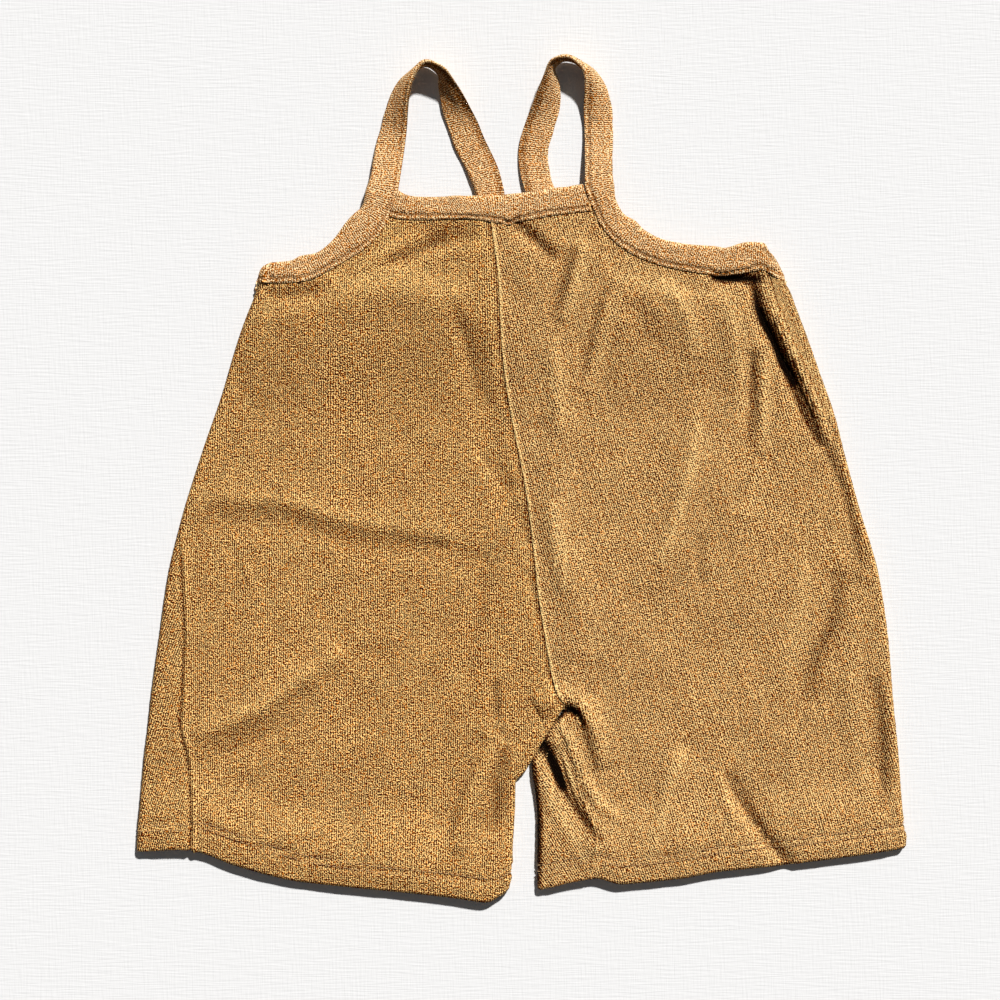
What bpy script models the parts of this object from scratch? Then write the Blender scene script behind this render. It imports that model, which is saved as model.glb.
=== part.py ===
"""Baby romper in ribbed terry, laid flat face up.

Frame: +X to the viewer's right, +Y towards the straps, +Z up from the table, origin at the
bottom centre of the garment. Tables are in millimetres and are turned into metres at the end.

The garment is two flattened tubes, a left and a right half, joined down the centre seams. A point
on a half is given by a level (0 hem, 1 crotch, 2 waist, 3 armhole and neck cut) and by the
distance along the cloth from the half's outer edge. The front and back panels share that one
tube, so their seams meet wherever they wander round the edge.
"""

import math
from collections import namedtuple

import bpy
import numpy as np

MM = 0.001

# Cloth, in millimetres.
CLOTH_WALL = 1.6
BAND_WALL = 1.2
SEAM_GAP = 0.3
LAYER_STEP = CLOTH_WALL + SEAM_GAP
HEM_DEPTH = 15.0
BAND_DEPTH = 16.5
STRAP_LEAF = (BAND_WALL + SEAM_GAP) / 2.0
BOUND_GAP = 0.45
BOUND_LEAF = (BAND_WALL + CLOTH_WALL) / 2.0 + BOUND_GAP

# Heights of the middle of the cloth above the table.
TABLE_CLEARANCE = 0.05
BACK_REST = CLOTH_WALL / 2.0
BACK_BOUND = BAND_WALL + BOUND_GAP + CLOTH_WALL / 2.0
FRONT_REST = BACK_REST + LAYER_STEP + TABLE_CLEARANCE
EDGE_RISE = 2.05
HEM_RISE = 3.75
BIB_RISE = BACK_BOUND + 2.0 * (BOUND_LEAF + TABLE_CLEARANCE) + BAND_WALL + SEAM_GAP - FRONT_REST
SLACK = 1.3
SLACK_ROUNDING = 0.6

# Levels.
WAIST = 60.0
CROTCH_OUTER = -104.0
CROTCH_INNER = -124.0

# Where soft changes of height start and end, as distances from an edge or heights up the garment.
EDGE_FADE = (4.0, 14.0)
LEG_FADE = (4.0, 12.0)
HEM_FADE = (HEM_DEPTH + 2.0, 2.0 * HEM_DEPTH)
BIB_FADE = (72.0, 94.0)
LEG_START = (CROTCH_INNER, CROTCH_INNER + 12.0)
FREE_FROM_EDGE = (4.0, 12.0)
FREE_FROM_LEG = (3.0, 9.0)
FREE_FROM_BAND = (BAND_DEPTH + 2.0, BAND_DEPTH + 12.0)
BACK_BAND_FADE = (BAND_DEPTH + 3.0, BAND_DEPTH + 16.0)
FOLD_REACH = 3.0
SLOPE_STEP = 0.5
BEND_SAMPLE = 3.0

CAMEL = (0.44, 0.235, 0.085, 1.0)
CAMEL_BAND = (0.50, 0.275, 0.115, 1.0)

Half = namedtuple(
    "Half",
    "side edge inseam hem_outer hem_inner hem_shape centre_front centre_back cut_front cut_back",
)
Fold = namedtuple("Fold", "name height width line")

# Outer edge seen from above: y, x of the edge, inset of the side seam from it on the front.
LEFT_EDGE = (
    (-232, -213.0, 29), (-204, -211.5, 29), (-184, -210.1, 28), (-152, -207.4, 23), (-134, -205.2, 17),
    (-118, -203.5, 16), (-86, -199.1, 13), (-52, -194.2, 7), (-20, -186.5, 0), (14, -176.0, 0),
    (46, -165.0, 0), (80, -154.6, 0), (108, -143.6, 0), (118, -140.0, 0),
)
RIGHT_EDGE = (
    (-232, 213.5, -10), (-202, 211.6, -10), (-184, 209.0, -9), (-152, 206.8, -7), (-118, 203.5, -5),
    (-86, 200.8, -4), (-52, 195.8, -3), (-20, 186.5, -2), (14, 177.1, 0), (34, 172.0, 4),
    (62, 162.2, 7), (80, 155.7, 10), (96, 149.5, 12), (104, 146.9, 11), (120, 139.8, 9),
)

# Inner edge of each leg: y, x of the edge, and how far past it the front panel reaches.
LEFT_LEG_EDGE = (
    (-232, -6.5, 13), (-202, -5.0, 13), (-183, -3.8, 13), (-165, -3.8, 13), (-156, 2.6, 12),
    (-144, 10.3, 9), (-133, 16.8, 5), (-124, 23.4, 0),
)
RIGHT_LEG_EDGE = (
    (-232, 8.3, -29), (-218, 8.3, -30), (-202, 8.3, -33), (-187, 8.3, -28), (-172, 7.2, -24),
    (-162, 5.6, -25), (-154, 5.2, -22), (-144, 11.1, -13), (-135, 16.4, -5), (-124, 24.1, 0),
)

# Hem edge: share of the way across the leg, rise above a straight line.
LEFT_HEM = ((0, 0), (0.14, 3.5), (0.27, -3), (0.45, -8.5), (0.65, -9), (0.85, -9.5), (0.93, -10.5), (1, -3))
RIGHT_HEM = ((0, 0), (0.17, -1), (0.35, -1.5), (0.5, -1), (0.62, -2.5), (0.77, -2), (0.85, 3), (1, 0))

# Centre seams: y, x.
CENTRE_FRONT = (
    (-124, 23.7), (-116, 18.2), (-94, 13.8), (-73, 10.5), (-52, 7.7), (-26, 5.0), (0, 1.0),
    (30, -5.0), (49, -8.3), (78, -11.5), (111, -13.2), (142, -17.1), (156, -18.0),
)
CENTRE_BACK = ((-124, 23.7), (-112, 17.5), (-60, 11.5), (0, 5.5), (60, 0.5), (110, -2.4), (152, -3.3))

# Cut edges inside the bindings, from the underarm to the middle: x, y.
CUT_FRONT_LEFT = (
    (-142, 113.4), (-137, 115.2), (-126, 116.6), (-118, 119.4), (-110, 121.6), (-101.2, 128),
    (-93, 138.5), (-85, 147.5), (-82.6, 153), (-60, 151.6), (-49, 151.2), (-37, 151.6), (-17.9, 152.3),
)
CUT_FRONT_RIGHT = (
    (140.4, 115.2), (136.6, 116.4), (132.6, 119.8), (129.6, 124.6), (122, 125.4), (111, 123.4), (103, 124.4),
    (88.4, 125.6), (76, 127.8), (65.4, 133), (59.2, 138.6), (51.6, 145), (47.4, 154.5), (46.4, 158.3),
    (32, 157.6), (17.6, 155.8), (4, 154.1), (-17.9, 152.3),
)
CUT_BACK_LEFT = (
    (-142, 113.4), (-138, 111.2), (-105, 111.8), (-72, 114.2), (-53, 117.2), (-37.8, 122.2), (-28.4, 130.2),
    (-23.8, 140), (-22.4, 149.4), (-3.3, 149.4),
)
CUT_BACK_RIGHT = (
    (140.4, 115.2), (135, 112.8), (103, 112.8), (69.6, 114.2), (49.2, 116.6), (32, 119.6), (21, 128.4),
    (18, 140), (16.2, 149.4), (-3.3, 149.4),
)

# Bindings. Underarm to bib: fold edge x, y, stitched edge x, y.
FRONT_BINDING_LEFT = (
    (-140.6, 116.6, -143.2, 107.8), (-137, 118.8, -139.5, 107.6), (-126.5, 119.8, -128, 107.6),
    (-121, 122.4, -116, 109.2), (-111.6, 124.6, -106.2, 113.6), (-104, 130.6, -96.2, 119.6),
    (-96.2, 141.1, -86.4, 125.7), (-91, 146.2, -77.6, 134.5), (-87.5, 150, -73.7, 141.2),
    (-85.8, 157.5, -69, 152.2),
)
FRONT_BINDING_RIGHT = (
    (138.9, 120.6, 142.2, 111.0), (133.2, 129.4, 132.6, 114.9), (121.6, 129.6, 120.4, 113.3),
    (111, 126.8, 106.8, 112), (103.4, 127.8, 97.9, 112.6), (89.1, 129, 82.5, 115.3),
    (77.6, 131.2, 71, 118.5), (67.6, 136.2, 60.5, 122.9), (61.6, 141.6, 50.8, 129.6),
    (55, 146, 43, 138.9), (51.2, 153.8, 39.2, 147.2), (50.6, 160, 35.2, 156.5),
)
BACK_BINDING_LEFT = (
    (-141, 116, -143.9, 104), (-135.9, 114, -135.9, 97.6), (-105.6, 115, -105.6, 99), (-72.6, 117.5, -72.6, 101),
    (-53.4, 120.6, -47.9, 105), (-39.6, 125.8, -28, 112.5), (-30.8, 132.6, -16.5, 122),
    (-26.6, 141.5, -10.6, 136), (-25.3, 150, -9.2, 149.5),
)
BACK_BINDING_RIGHT = (
    (139.2, 119.6, 142.8, 107.4), (134, 116.4, 134, 100), (103, 116, 103, 99.6), (69, 117.6, 66, 101.4),
    (48.6, 121, 42, 105.6), (34, 125.4, 22, 112.5), (24.4, 132.6, 9.6, 122),
    (21, 141.5, 3.6, 136), (19, 150, 2.4, 149.5),
)

# Straps, from the bib over the top to the back: fold edge x, y, z, stitched edge x, y, z.
STRAP_LEFT = (
    (-83.6, 164, 6.2, -67.2, 163, 6.6), (-82, 173, 4.0, -65.8, 172.6, 4.6), (-80.6, 182, 2.3, -64.5, 181.6, 3.4),
    (-78, 192.4, 1.5, -63.2, 192, 4.4), (-74.8, 203, 1.6, -62.4, 202, 9.5), (-71.2, 212, 1.8, -61.2, 210.6, 14),
    (-65, 220.4, 1.8, -58.6, 218.6, 17.0), (-54, 227.6, 1.8, -52.6, 226.2, 18.2),
    (-45.6, 222.4, 1.8, -43.4, 223.4, 17.6), (-45.4, 215, 1.6, -38.4, 218.4, 15.4),
    (-44.6, 207.4, 1.6, -32.8, 210.8, 11.0), (-43.2, 199.6, 1.4, -27.8, 202.6, 5.0),
    (-40, 190.6, 1.4, -24.2, 196, 2.4), (-36.4, 180.8, 1.4, -20.6, 187.2, 1.5),
    (-32.4, 172.8, 1.4, -16.8, 179.4, 1.4), (-28.6, 164.4, 1.4, -12.8, 170, 1.4),
    (-26.2, 158, 1.8, -10.2, 160, 1.8),
)
STRAP_RIGHT = (
    (49.8, 168.6, 6.0, 34.4, 166.6, 6.6), (49.8, 178, 4.0, 34.4, 177.6, 4.6), (50, 187, 2.4, 34.4, 187, 3.2),
    (50, 196, 1.6, 34.2, 196, 3.0), (49.4, 204.6, 1.5, 33.8, 204.2, 5.0), (47.2, 212.4, 1.6, 34.2, 212.4, 9.6),
    (43.4, 219.6, 1.8, 34.0, 219.2, 14), (36.6, 226.4, 1.8, 31.4, 224.6, 17.0),
    (24.4, 230.4, 1.8, 24.2, 229, 18.2), (17.4, 225.6, 1.8, 16.2, 227.4, 17.6),
    (19.8, 217.6, 1.6, 12.4, 220.8, 15.4), (21.2, 209.6, 1.6, 9.0, 213.4, 11.0),
    (20.4, 201.4, 1.4, 5.4, 204.6, 5.4), (18.0, 193, 1.4, 2.2, 196.6, 2.2),
    (15.2, 183.4, 1.4, -1.2, 185.4, 1.4), (14.6, 174.6, 1.4, -1.8, 175, 1.4),
    (16.4, 165, 1.4, -0.2, 165.2, 1.4), (18.6, 157.4, 1.8, 2.0, 157.6, 1.8),
)

# Neck bands: fold edge x, y, stitched edge x, y.
NECK_FRONT = (
    (-66.0, 157.6, -71.2, 143.2), (-60, 155, -62, 141.8), (-49, 154.6, -47, 142), (-37, 155, -27, 142),
    (-12, 155.6, -11.6, 140), (4, 157.6, 4, 142), (17.6, 159.4, 19.4, 144.6), (33.0, 161.4, 37.4, 146.8),
)
NECK_BACK = ((-8.6, 152.4, -8.6, 136.6), (-3.3, 152.4, -3.3, 136.6), (1.8, 152.4, 1.8, 136.6))

# Folds that stand up (+) or sink (-), as lines of x, y.
FOLDS_LEFT = (
    Fold("belly hollow", -2.6, 8, ((-176, -20), (-137, -14), (-101, -22), (-64, -29), (-25, -37), (0, -40))),
    Fold("belly ridge", 2.2, 9, ((-165, -2), (-129, -3), (-95, -9), (-53, -15), (-25, -25))),
    Fold("leg ridge", 3.0, 9, ((-180, -138), (-151, -124), (-112, -102), (-100, -92))),
    Fold("leg hollow", -2.6, 8, ((-176, -152), (-142, -136), (-119, -112))),
    Fold("crotch ridge", 3.0, 8, ((-9, -142), (-24, -170), (-38, -204))),
    Fold("crotch hollow", -2.4, 7, ((-20, -140), (-37, -170), (-47, -196))),
    Fold("seam hollow", -1.8, 8, ((-30, 86), (-22, 44), (-13, 5), (-3, -24))),
    Fold("arch, left limb", 3.6, 7, ((8, -126), (20, -119))),
)
FOLDS_RIGHT = (
    Fold("seam ridge", 2.4, 9, ((21, 70), (26, 53), (23, 27), (18, 5), (20, -26), (28, -51), (31, -74), (26, -100))),
    Fold("bib hollow", -2.0, 7, ((51, 108), (43, 87), (37, 64), (32, 51))),
    Fold("belly ridge", 2.2, 10, ((96, 50), (93, 7), (82, -32), (68, -62))),
    Fold("hip hollow", -2.4, 8, ((127, 72), (130, 44), (128, 22), (121, -18))),
    Fold("side hollow", -2.6, 7, ((128, 96), (138, 78), (150, 52), (160, 28))),
    Fold("leg ridge", 2.2, 9, ((87, -150), (79, -205))),
    Fold("hem hollow", -2.2, 7, ((117, -165), (126, -181), (135, -196), (145, -212))),
    Fold("arch, right limb", 4.2, 7, ((27, -118), (37, -129), (43, -142), (46, -158))),
    Fold("inseam ridge", 2.2, 7, ((34, -164), (37, -184), (41, -206))),
)

LEFT = Half(1, LEFT_EDGE, LEFT_LEG_EDGE, -204.0, -222.5, LEFT_HEM,
            CENTRE_FRONT, CENTRE_BACK, CUT_FRONT_LEFT, CUT_BACK_LEFT)
RIGHT = Half(-1, RIGHT_EDGE, RIGHT_LEG_EDGE, -202.0, -225.0, RIGHT_HEM,
             CENTRE_FRONT, CENTRE_BACK, CUT_FRONT_RIGHT, CUT_BACK_RIGHT)
FOLDS = FOLDS_LEFT + FOLDS_RIGHT

# Rows of cloth on a panel: level, how far inside the outer layer, how far past the hem edge.
HEM_FOLD_RADIUS = LAYER_STEP / 2.0
HEM_LEVEL = 0.0175
TURN_LEVELS = (0.155, 0.085)
FOLD_ANGLES = (0.0, 45.0, 90.0, 135.0, 180.0)
LEVELS = (
    0.085, 0.155, 0.28, 0.42, 0.57, 0.72, 0.85, 0.94, 1.0, 1.03, 1.1, 1.19, 1.28, 1.38, 1.48, 1.59,
    1.72, 1.86, 2.0, 2.2, 2.4, 2.56, 2.68, 2.8, 2.9, 3.0,
)
FINEST_COLUMN = 0.55
BACK_CROWDING = 0.5
CROTCH_EASE = 0.6
BEND_HALF_GAP = 0.45
CROTCH_EASE_LEVELS = (1.0, 1.15)
CENTRE_BREAKS = (6.0, 2.0)
UNDERARM_STATIONS = (0.4, 1.6, 2.9, 4.3)
STRAP_OPENING_ROWS = 5.0
CURVE_PARTS = 2
BEND = math.pi / 2.0


def smooth_step(value, start, end):
    """Rise softly from 0 at the start to 1 at the end."""
    share = min(1.0, max(0.0, (value - start) / (end - start)))
    return share * share * (3.0 - 2.0 * share)


def mix(first, second, share):
    """Go from first to second."""
    return first + (second - first) * share


def read(table, column, place):
    """Read a column of a table smoothly at a place along its first column."""
    rows = table if table[0][0] <= table[-1][0] else table[::-1]
    if place <= rows[0][0]:
        return rows[0][column]
    if place >= rows[-1][0]:
        return rows[-1][column]
    upper = next(i for i, row in enumerate(rows) if row[0] > place)
    steps = [rows[i + 1][0] - rows[i][0] for i in range(len(rows) - 1)]
    rates = [(rows[i + 1][column] - rows[i][column]) / steps[i] for i in range(len(rows) - 1)]

    def slope(i):
        if i == 0 or i == len(rows) - 1:
            return rates[min(i, len(rates) - 1)]
        if rates[i - 1] * rates[i] <= 0.0:
            return 0.0
        return 2.0 * rates[i - 1] * rates[i] / (rates[i - 1] + rates[i])

    i = upper - 1
    t = (place - rows[i][0]) / steps[i]
    start, end = rows[i][column], rows[upper][column]
    rise = steps[i]
    return (
        (2 * t**3 - 3 * t**2 + 1) * start + (t**3 - 2 * t**2 + t) * rise * slope(i)
        + (3 * t**2 - 2 * t**3) * end + (t**3 - t**2) * rise * slope(upper)
    )


def line_distance(line, x, y):
    """Distance to a line of points, and the share of the line's length at the nearest place."""
    lengths = [math.dist(line[i], line[i + 1]) for i in range(len(line) - 1)]
    nearest, along, passed = 1e9, 0.0, 0.0
    for i, length in enumerate(lengths):
        (ax, ay), (bx, by) = line[i][:2], line[i + 1][:2]
        share = ((x - ax) * (bx - ax) + (y - ay) * (by - ay)) / (length * length)
        share = min(1.0, max(0.0, share))
        away = math.hypot(x - mix(ax, bx, share), y - mix(ay, by, share))
        if away < nearest:
            nearest, along = away, passed + share * length
        passed += length
    return nearest, along / passed


def relief(x, y):
    """Height of all folds at a place, fading out at each fold's ends."""
    total = 0.0
    for fold in FOLDS:
        away, along = line_distance(fold.line, x, y)
        if away < FOLD_REACH * fold.width:
            total += fold.height * math.sqrt(4.0 * along * (1.0 - along)) * math.exp(-(away / fold.width) ** 2)
    return total


def edge_x(half, y):
    """Middle of the cloth at the outer edge."""
    return read(half.edge, 1, y) + half.side * CLOTH_WALL / 2.0


def leg_x(half, y):
    """Middle of the cloth at the leg's inner edge."""
    return read(half.inseam, 1, y) - half.side * CLOTH_WALL / 2.0


def hem_y(half, share):
    """Hem edge at a share of the way from the outer to the inner edge."""
    return mix(half.hem_outer, half.hem_inner, share) + read(half.hem_shape, 1, share)


def front_height(half, x, y):
    """Middle of the front cloth above the table."""
    from_edge = abs(x - edge_x(half, y))
    below_crotch = 1.0 - smooth_step(y, *LEG_START)
    from_leg = abs(x - leg_x(half, min(y, CROTCH_INNER)))
    outer, inner = edge_x(half, half.hem_outer), leg_x(half, half.hem_inner)
    above_hem = y - hem_y(half, min(1.0, max(0.0, (x - outer) / (inner - outer))))
    from_cut = line_distance(half.cut_front, x, y)[0]
    rises = (
        EDGE_RISE * (1.0 - smooth_step(from_edge, *EDGE_FADE)),
        EDGE_RISE * (1.0 - smooth_step(from_leg, *LEG_FADE)) * below_crotch,
        HEM_RISE * (1.0 - smooth_step(above_hem, *HEM_FADE)),
        BIB_RISE * smooth_step(y, *BIB_FADE),
    )
    support = FRONT_REST + sum(rise**4 for rise in rises) ** 0.25
    free = smooth_step(from_edge, *FREE_FROM_EDGE) * smooth_step(from_cut, *FREE_FROM_BAND)
    free *= mix(1.0, smooth_step(from_leg, *FREE_FROM_LEG), below_crotch)
    lift = (SLACK + relief(x, y)) * free
    return support + (lift + math.hypot(lift, SLACK_ROUNDING)) / 2.0


def back_height(half, x, y):
    """Middle of the back cloth above the table."""
    from_cut = line_distance(half.cut_back, x, y)[0]
    return mix(BACK_BOUND, BACK_REST, smooth_step(from_cut, *BACK_BAND_FADE))


def height(half, face, x, y):
    """Height of the cloth on one face, 1 for the front and -1 for the back."""
    return front_height(half, x, y) if face > 0 else back_height(half, x, y)


def flat_point(half, face, x, y):
    """Point of the cloth and its outward normal, away from the bends."""
    z = height(half, face, x, y)
    slope_x = (height(half, face, x + SLOPE_STEP, y) - z) / SLOPE_STEP
    slope_y = (height(half, face, x, y + SLOPE_STEP) - z) / SLOPE_STEP
    normal = np.array((-slope_x, -slope_y, 1.0)) * face
    return np.array((x, y, z)), normal / np.linalg.norm(normal)


def edge_round(half, x, y):
    """Radius and centre height of the bend at an edge."""
    high, low = front_height(half, x, y), back_height(half, x, y)
    return (high - low) / 2.0, (high + low) / 2.0


def bend_point(edge, inward, radius, centre, face, along, y):
    """Point and normal on a bend, a distance along the cloth from the outermost place."""
    angle = along / radius
    x = edge + inward * radius * (1.0 - math.cos(angle))
    z = centre + face * radius * math.sin(angle)
    return np.array((x, y, z)), np.array((-inward * math.cos(angle), 0.0, face * math.sin(angle)))


def cut_point(half, face, share):
    """Point on the cut armhole and neck edge, a share of the way from the underarm to the middle."""
    cut, crowding = (half.cut_front, 0.0) if face > 0 else (half.cut_back, BACK_CROWDING)
    lengths = [math.dist(cut[i], cut[i + 1]) for i in range(len(cut) - 1)]
    left = mix(share, share * (2.0 - share), crowding) * sum(lengths)
    for i, length in enumerate(lengths):
        if left <= length or i == len(lengths) - 1:
            break
        left -= length
    return mix(cut[i][0], cut[i + 1][0], left / length), mix(cut[i][1], cut[i + 1][1], left / length)


def level_y(half, face, level, share):
    """Height up the garment of a level, at a share of the way across the half."""
    crotch = mix(CROTCH_OUTER, CROTCH_INNER, share)
    if level <= 1.0:
        return mix(hem_y(half, share), crotch, level)
    if level <= 2.0:
        return mix(crotch, WAIST, level - 1.0)
    return mix(WAIST, cut_point(half, face, share)[1], level - 2.0)


def centre_x(half, face, y):
    """Centre seam of one face."""
    return read(half.centre_front if face > 0 else half.centre_back, 1, y)


def bib_x(half, face, level, share, y_outer, y_inner):
    """Place across the half above the waist, between the waist and the cut edge."""
    waist = (edge_x(half, WAIST), centre_x(half, face, WAIST))
    top = (cut_point(half, face, 0.0)[0], cut_point(half, face, 1.0)[0])
    rise = level - 2.0
    x = mix(mix(waist[0], waist[1], share), cut_point(half, face, share)[0], rise)
    x += (edge_x(half, y_outer) - mix(waist[0], top[0], rise)) * (1.0 - share)
    return x + (centre_x(half, face, y_inner) - mix(waist[1], top[1], rise)) * share


def across(half, face, level):
    """Edges, bends and developed width of the half at one level."""
    y_outer = level_y(half, face, level, 0.0)
    y_inner = level_y(half, face, level, 1.0)
    outer = edge_x(half, y_outer)
    radius, centre = edge_round(half, outer + half.side * BEND_SAMPLE, y_outer)
    extra = (BEND - 1.0) * radius
    if level <= 1.0:
        inner = leg_x(half, y_inner)
        leg_radius, leg_centre = edge_round(half, inner - half.side * BEND_SAMPLE, y_inner)
        extra += (BEND - 1.0) * leg_radius
    else:
        inner = centre_x(half, face, y_inner)
        leg_radius, leg_centre = 0.0, 0.0
    width = abs(inner - outer) + extra
    return y_outer, y_inner, outer, inner, radius, centre, leg_radius, leg_centre, width


def tube_point(half, face, level, along):
    """Point and outward normal of the half, a distance along the cloth from its outer edge."""
    if along < 0.0:
        face, along = -face, -along
    sizes = across(half, face, level)
    width = sizes[-1]
    if level <= 1.0 and along > width:
        face, along = -face, 2.0 * width - along
    y_outer, y_inner, outer, inner, radius, centre, leg_radius, leg_centre, width = sizes
    share = min(1.0, max(0.0, (along - (BEND - 1.0) * radius) / abs(inner - outer)))
    y = level_y(half, face, level, share)
    if along < BEND * radius:
        return bend_point(outer, half.side, radius, centre, face, along, y)
    if level <= 1.0 and width - along < BEND * leg_radius:
        return bend_point(inner, -half.side, leg_radius, leg_centre, face, width - along, y)
    x = outer + half.side * (along - (BEND - 1.0) * radius)
    if level > 2.0:
        x = bib_x(half, face, level, share, y_outer, y_inner)
    return flat_point(half, face, x, y)


def cloth_point(half, face, x, y):
    """Point and normal of the cloth under a place seen from above, wrapping at the outer edge."""
    outer = edge_x(half, y)
    radius, centre = edge_round(half, outer + half.side * BEND_SAMPLE, y)
    along = max(SEAM_GAP / 2.0, half.side * (x - outer) + (BEND - 1.0) * radius)
    if along < BEND * radius:
        return bend_point(outer, half.side, radius, centre, face, along, y)
    return flat_point(half, face, x, y)


def spread(breaks, counts):
    """Columns between breaks, kept apart where a break falls out of order."""
    kept = [breaks[0]]
    room = [count * FINEST_COLUMN for count in counts]
    for i in range(1, len(breaks)):
        low = kept[-1] + room[i - 1]
        high = breaks[-1] - sum(room[i:])
        kept.append(min(max(breaks[i], low), high) if i < len(breaks) - 1 else breaks[-1])
    columns = [kept[0]]
    for i, count in enumerate(counts):
        columns += [mix(kept[i], kept[i + 1], (k + 1) / count) for k in range(count)]
    return columns


def half_gap(seam, radius):
    """Half the gap at a seam, wider where the seam runs round a bend and the walls lean in."""
    return mix(BEND_HALF_GAP, SEAM_GAP / 2.0, smooth_step(abs(seam), BEND * radius, 2.0 * BEND * radius))


def panel_columns(half, face, level, counts):
    """Places along the cloth, from the side seam to the centre seam or the inseam."""
    y_outer, y_inner, outer, inner, radius, centre, leg_radius, leg_centre, width = across(half, face, level)
    inset = read(half.edge, 2, y_outer)
    side_seam = face * (inset + math.copysign(min(abs(inset), (BEND - 1.0) * radius), inset))
    start = side_seam + half_gap(side_seam, radius)
    if level <= 1.0:
        past = face * read(half.inseam, 2, y_inner)
        end = width + past - half_gap(past, leg_radius)
        bends = (width - BEND * leg_radius, width + BEND * leg_radius)
    else:
        end = width - SEAM_GAP / 2.0 - CROTCH_EASE * (1.0 - smooth_step(level, *CROTCH_EASE_LEVELS))
        bends = tuple(end - inside for inside in CENTRE_BREAKS)
    breaks = (start, -BEND * radius, BEND * radius) + bends + (end,)
    kept = [breaks[i + 1] for i, count in enumerate(counts) if count]
    kept[-1] = end
    return spread([start] + kept, [count for count in counts if count])


def panel_rows():
    """Rows of a panel: the turned-up hem inside, the hem's fold, then the outer layer."""
    rows = [(level, LAYER_STEP, 0.0) for level in TURN_LEVELS]
    for angle in FOLD_ANGLES:
        turn = math.radians(angle)
        rows.append((HEM_LEVEL, HEM_FOLD_RADIUS * (1.0 + math.cos(turn)), HEM_FOLD_RADIUS * math.sin(turn)))
    return rows + [(level, 0.0, 0.0) for level in LEVELS]


def panel_grid(half, face, counts):
    """Points of a panel, row by row."""
    grid = []
    for level, inside, past_hem in panel_rows():
        row = []
        for along in panel_columns(half, face, level, counts):
            point, normal = tube_point(half, face, level, along)
            row.append(point - normal * inside - np.array((0.0, past_hem, 0.0)))
        grid.append(row)
    return grid


def refine(table, parts):
    """Rows along a table, as a smooth curve through its rows."""
    rows = [np.array(row, dtype=float) for row in table]
    fine = []
    for i in range(len(rows) - 1):
        before = rows[max(i - 1, 0)]
        start, end = rows[i], rows[i + 1]
        after = rows[min(i + 2, len(rows) - 1)]
        for k in range(parts):
            t = k / parts
            fine.append(
                0.5 * (2 * start + (end - before) * t + (2 * before - 5 * start + 4 * end - after) * t**2
                       + (3 * start - before - 3 * end + after) * t**3)
            )
    return fine + [rows[-1]]


def leaf_section(width, leaf):
    """Folded strip in section: distance from the stitched edge, distance from the middle."""
    crown = width - leaf - BAND_WALL / 2.0
    arc = [(crown + leaf * math.sin(math.radians(a)), leaf * math.cos(math.radians(a))) for a in (0, 60, 120, 180)]
    return [(0.0, leaf), (crown / 2.0, leaf)] + arc + [(crown / 2.0, -leaf), (0.0, -leaf)]


def bound_ring(half, face, fold_edge, stitched_edge):
    """Section of a binding on a panel, made from the panel's own points moved out."""
    width = float(np.linalg.norm(fold_edge - stitched_edge))
    outward = (fold_edge - stitched_edge) / width
    ring = []
    for across_strip, off in leaf_section(width, BOUND_LEAF):
        place = stitched_edge + outward * across_strip
        owner = half if half else (LEFT if place[0] < read(CENTRE_FRONT, 1, place[1]) else RIGHT)
        point, normal = cloth_point(owner, face, place[0], place[1])
        ring.append(point + normal * off)
    return ring


def strap_rings(half, table):
    """Sections of the strap between the bib and the back, with the strip folded shut."""
    rows = refine(table, CURVE_PARTS)
    rings = []
    for i, row in enumerate(rows):
        fold_edge, stitched_edge = row[:3], row[3:]
        after, before = rows[min(i + 1, len(rows) - 1)], rows[max(i - 1, 0)]
        ahead = (after[:3] + after[3:]) - (before[:3] + before[3:])
        width = float(np.linalg.norm(fold_edge - stitched_edge))
        outward = (fold_edge - stitched_edge) / width
        normal = np.cross(ahead, outward) * half.side
        normal /= np.linalg.norm(normal)
        opening = 1.0 - smooth_step(min(i, len(rows) - 1 - i), 0.0, STRAP_OPENING_ROWS)
        leaf = mix(STRAP_LEAF, BOUND_LEAF, opening)
        ring = [stitched_edge + outward * b + normal * off for b, off in leaf_section(width, leaf)]
        low = min(point[2] for point in ring) - BAND_WALL / 2.0
        lift = np.array((0.0, 0.0, max(0.0, TABLE_CLEARANCE - low)))
        rings.append([point + lift for point in ring])
    return rings


def underarm_rows(half, first):
    """Stations that carry the strip round the bend at the underarm."""
    rows = []
    for along in UNDERARM_STATIONS:
        row = list(first)
        for column in (0, 2):
            outer = edge_x(half, first[column + 1])
            radius = edge_round(half, outer + half.side * BEND_SAMPLE, first[column + 1])[0]
            row[column] = outer + half.side * (along - (BEND - 1.0) * radius)
        rows.append(np.array(row))
    return rows


def binding_grid(half, front_table, strap_table, back_table):
    """One strip: front armhole, shoulder strap and back armhole."""
    grid = []
    for face, table in ((1, front_table), (-1, back_table)):
        rows = underarm_rows(half, table[0]) + refine(table[1:], CURVE_PARTS)
        rings = [bound_ring(half, face, row[:2], row[2:]) for row in rows]
        grid += rings if face > 0 else rings[::-1]
        if face > 0:
            grid += strap_rings(half, strap_table)
    return grid


def neck_grid(face, table):
    """Neck band over both half panels."""
    return [bound_ring(None, face, row[:2], row[2:]) for row in refine(table, CURVE_PARTS)]


def cloth_material(name, colour):
    """Terry cloth."""
    material = bpy.data.materials.new(name)
    material.use_nodes = True
    shader = material.node_tree.nodes["Principled BSDF"]
    shader.inputs["Base Color"].default_value = colour
    shader.inputs["Roughness"].default_value = 0.9
    shader.inputs["Metallic"].default_value = 0.0
    return material


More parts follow.
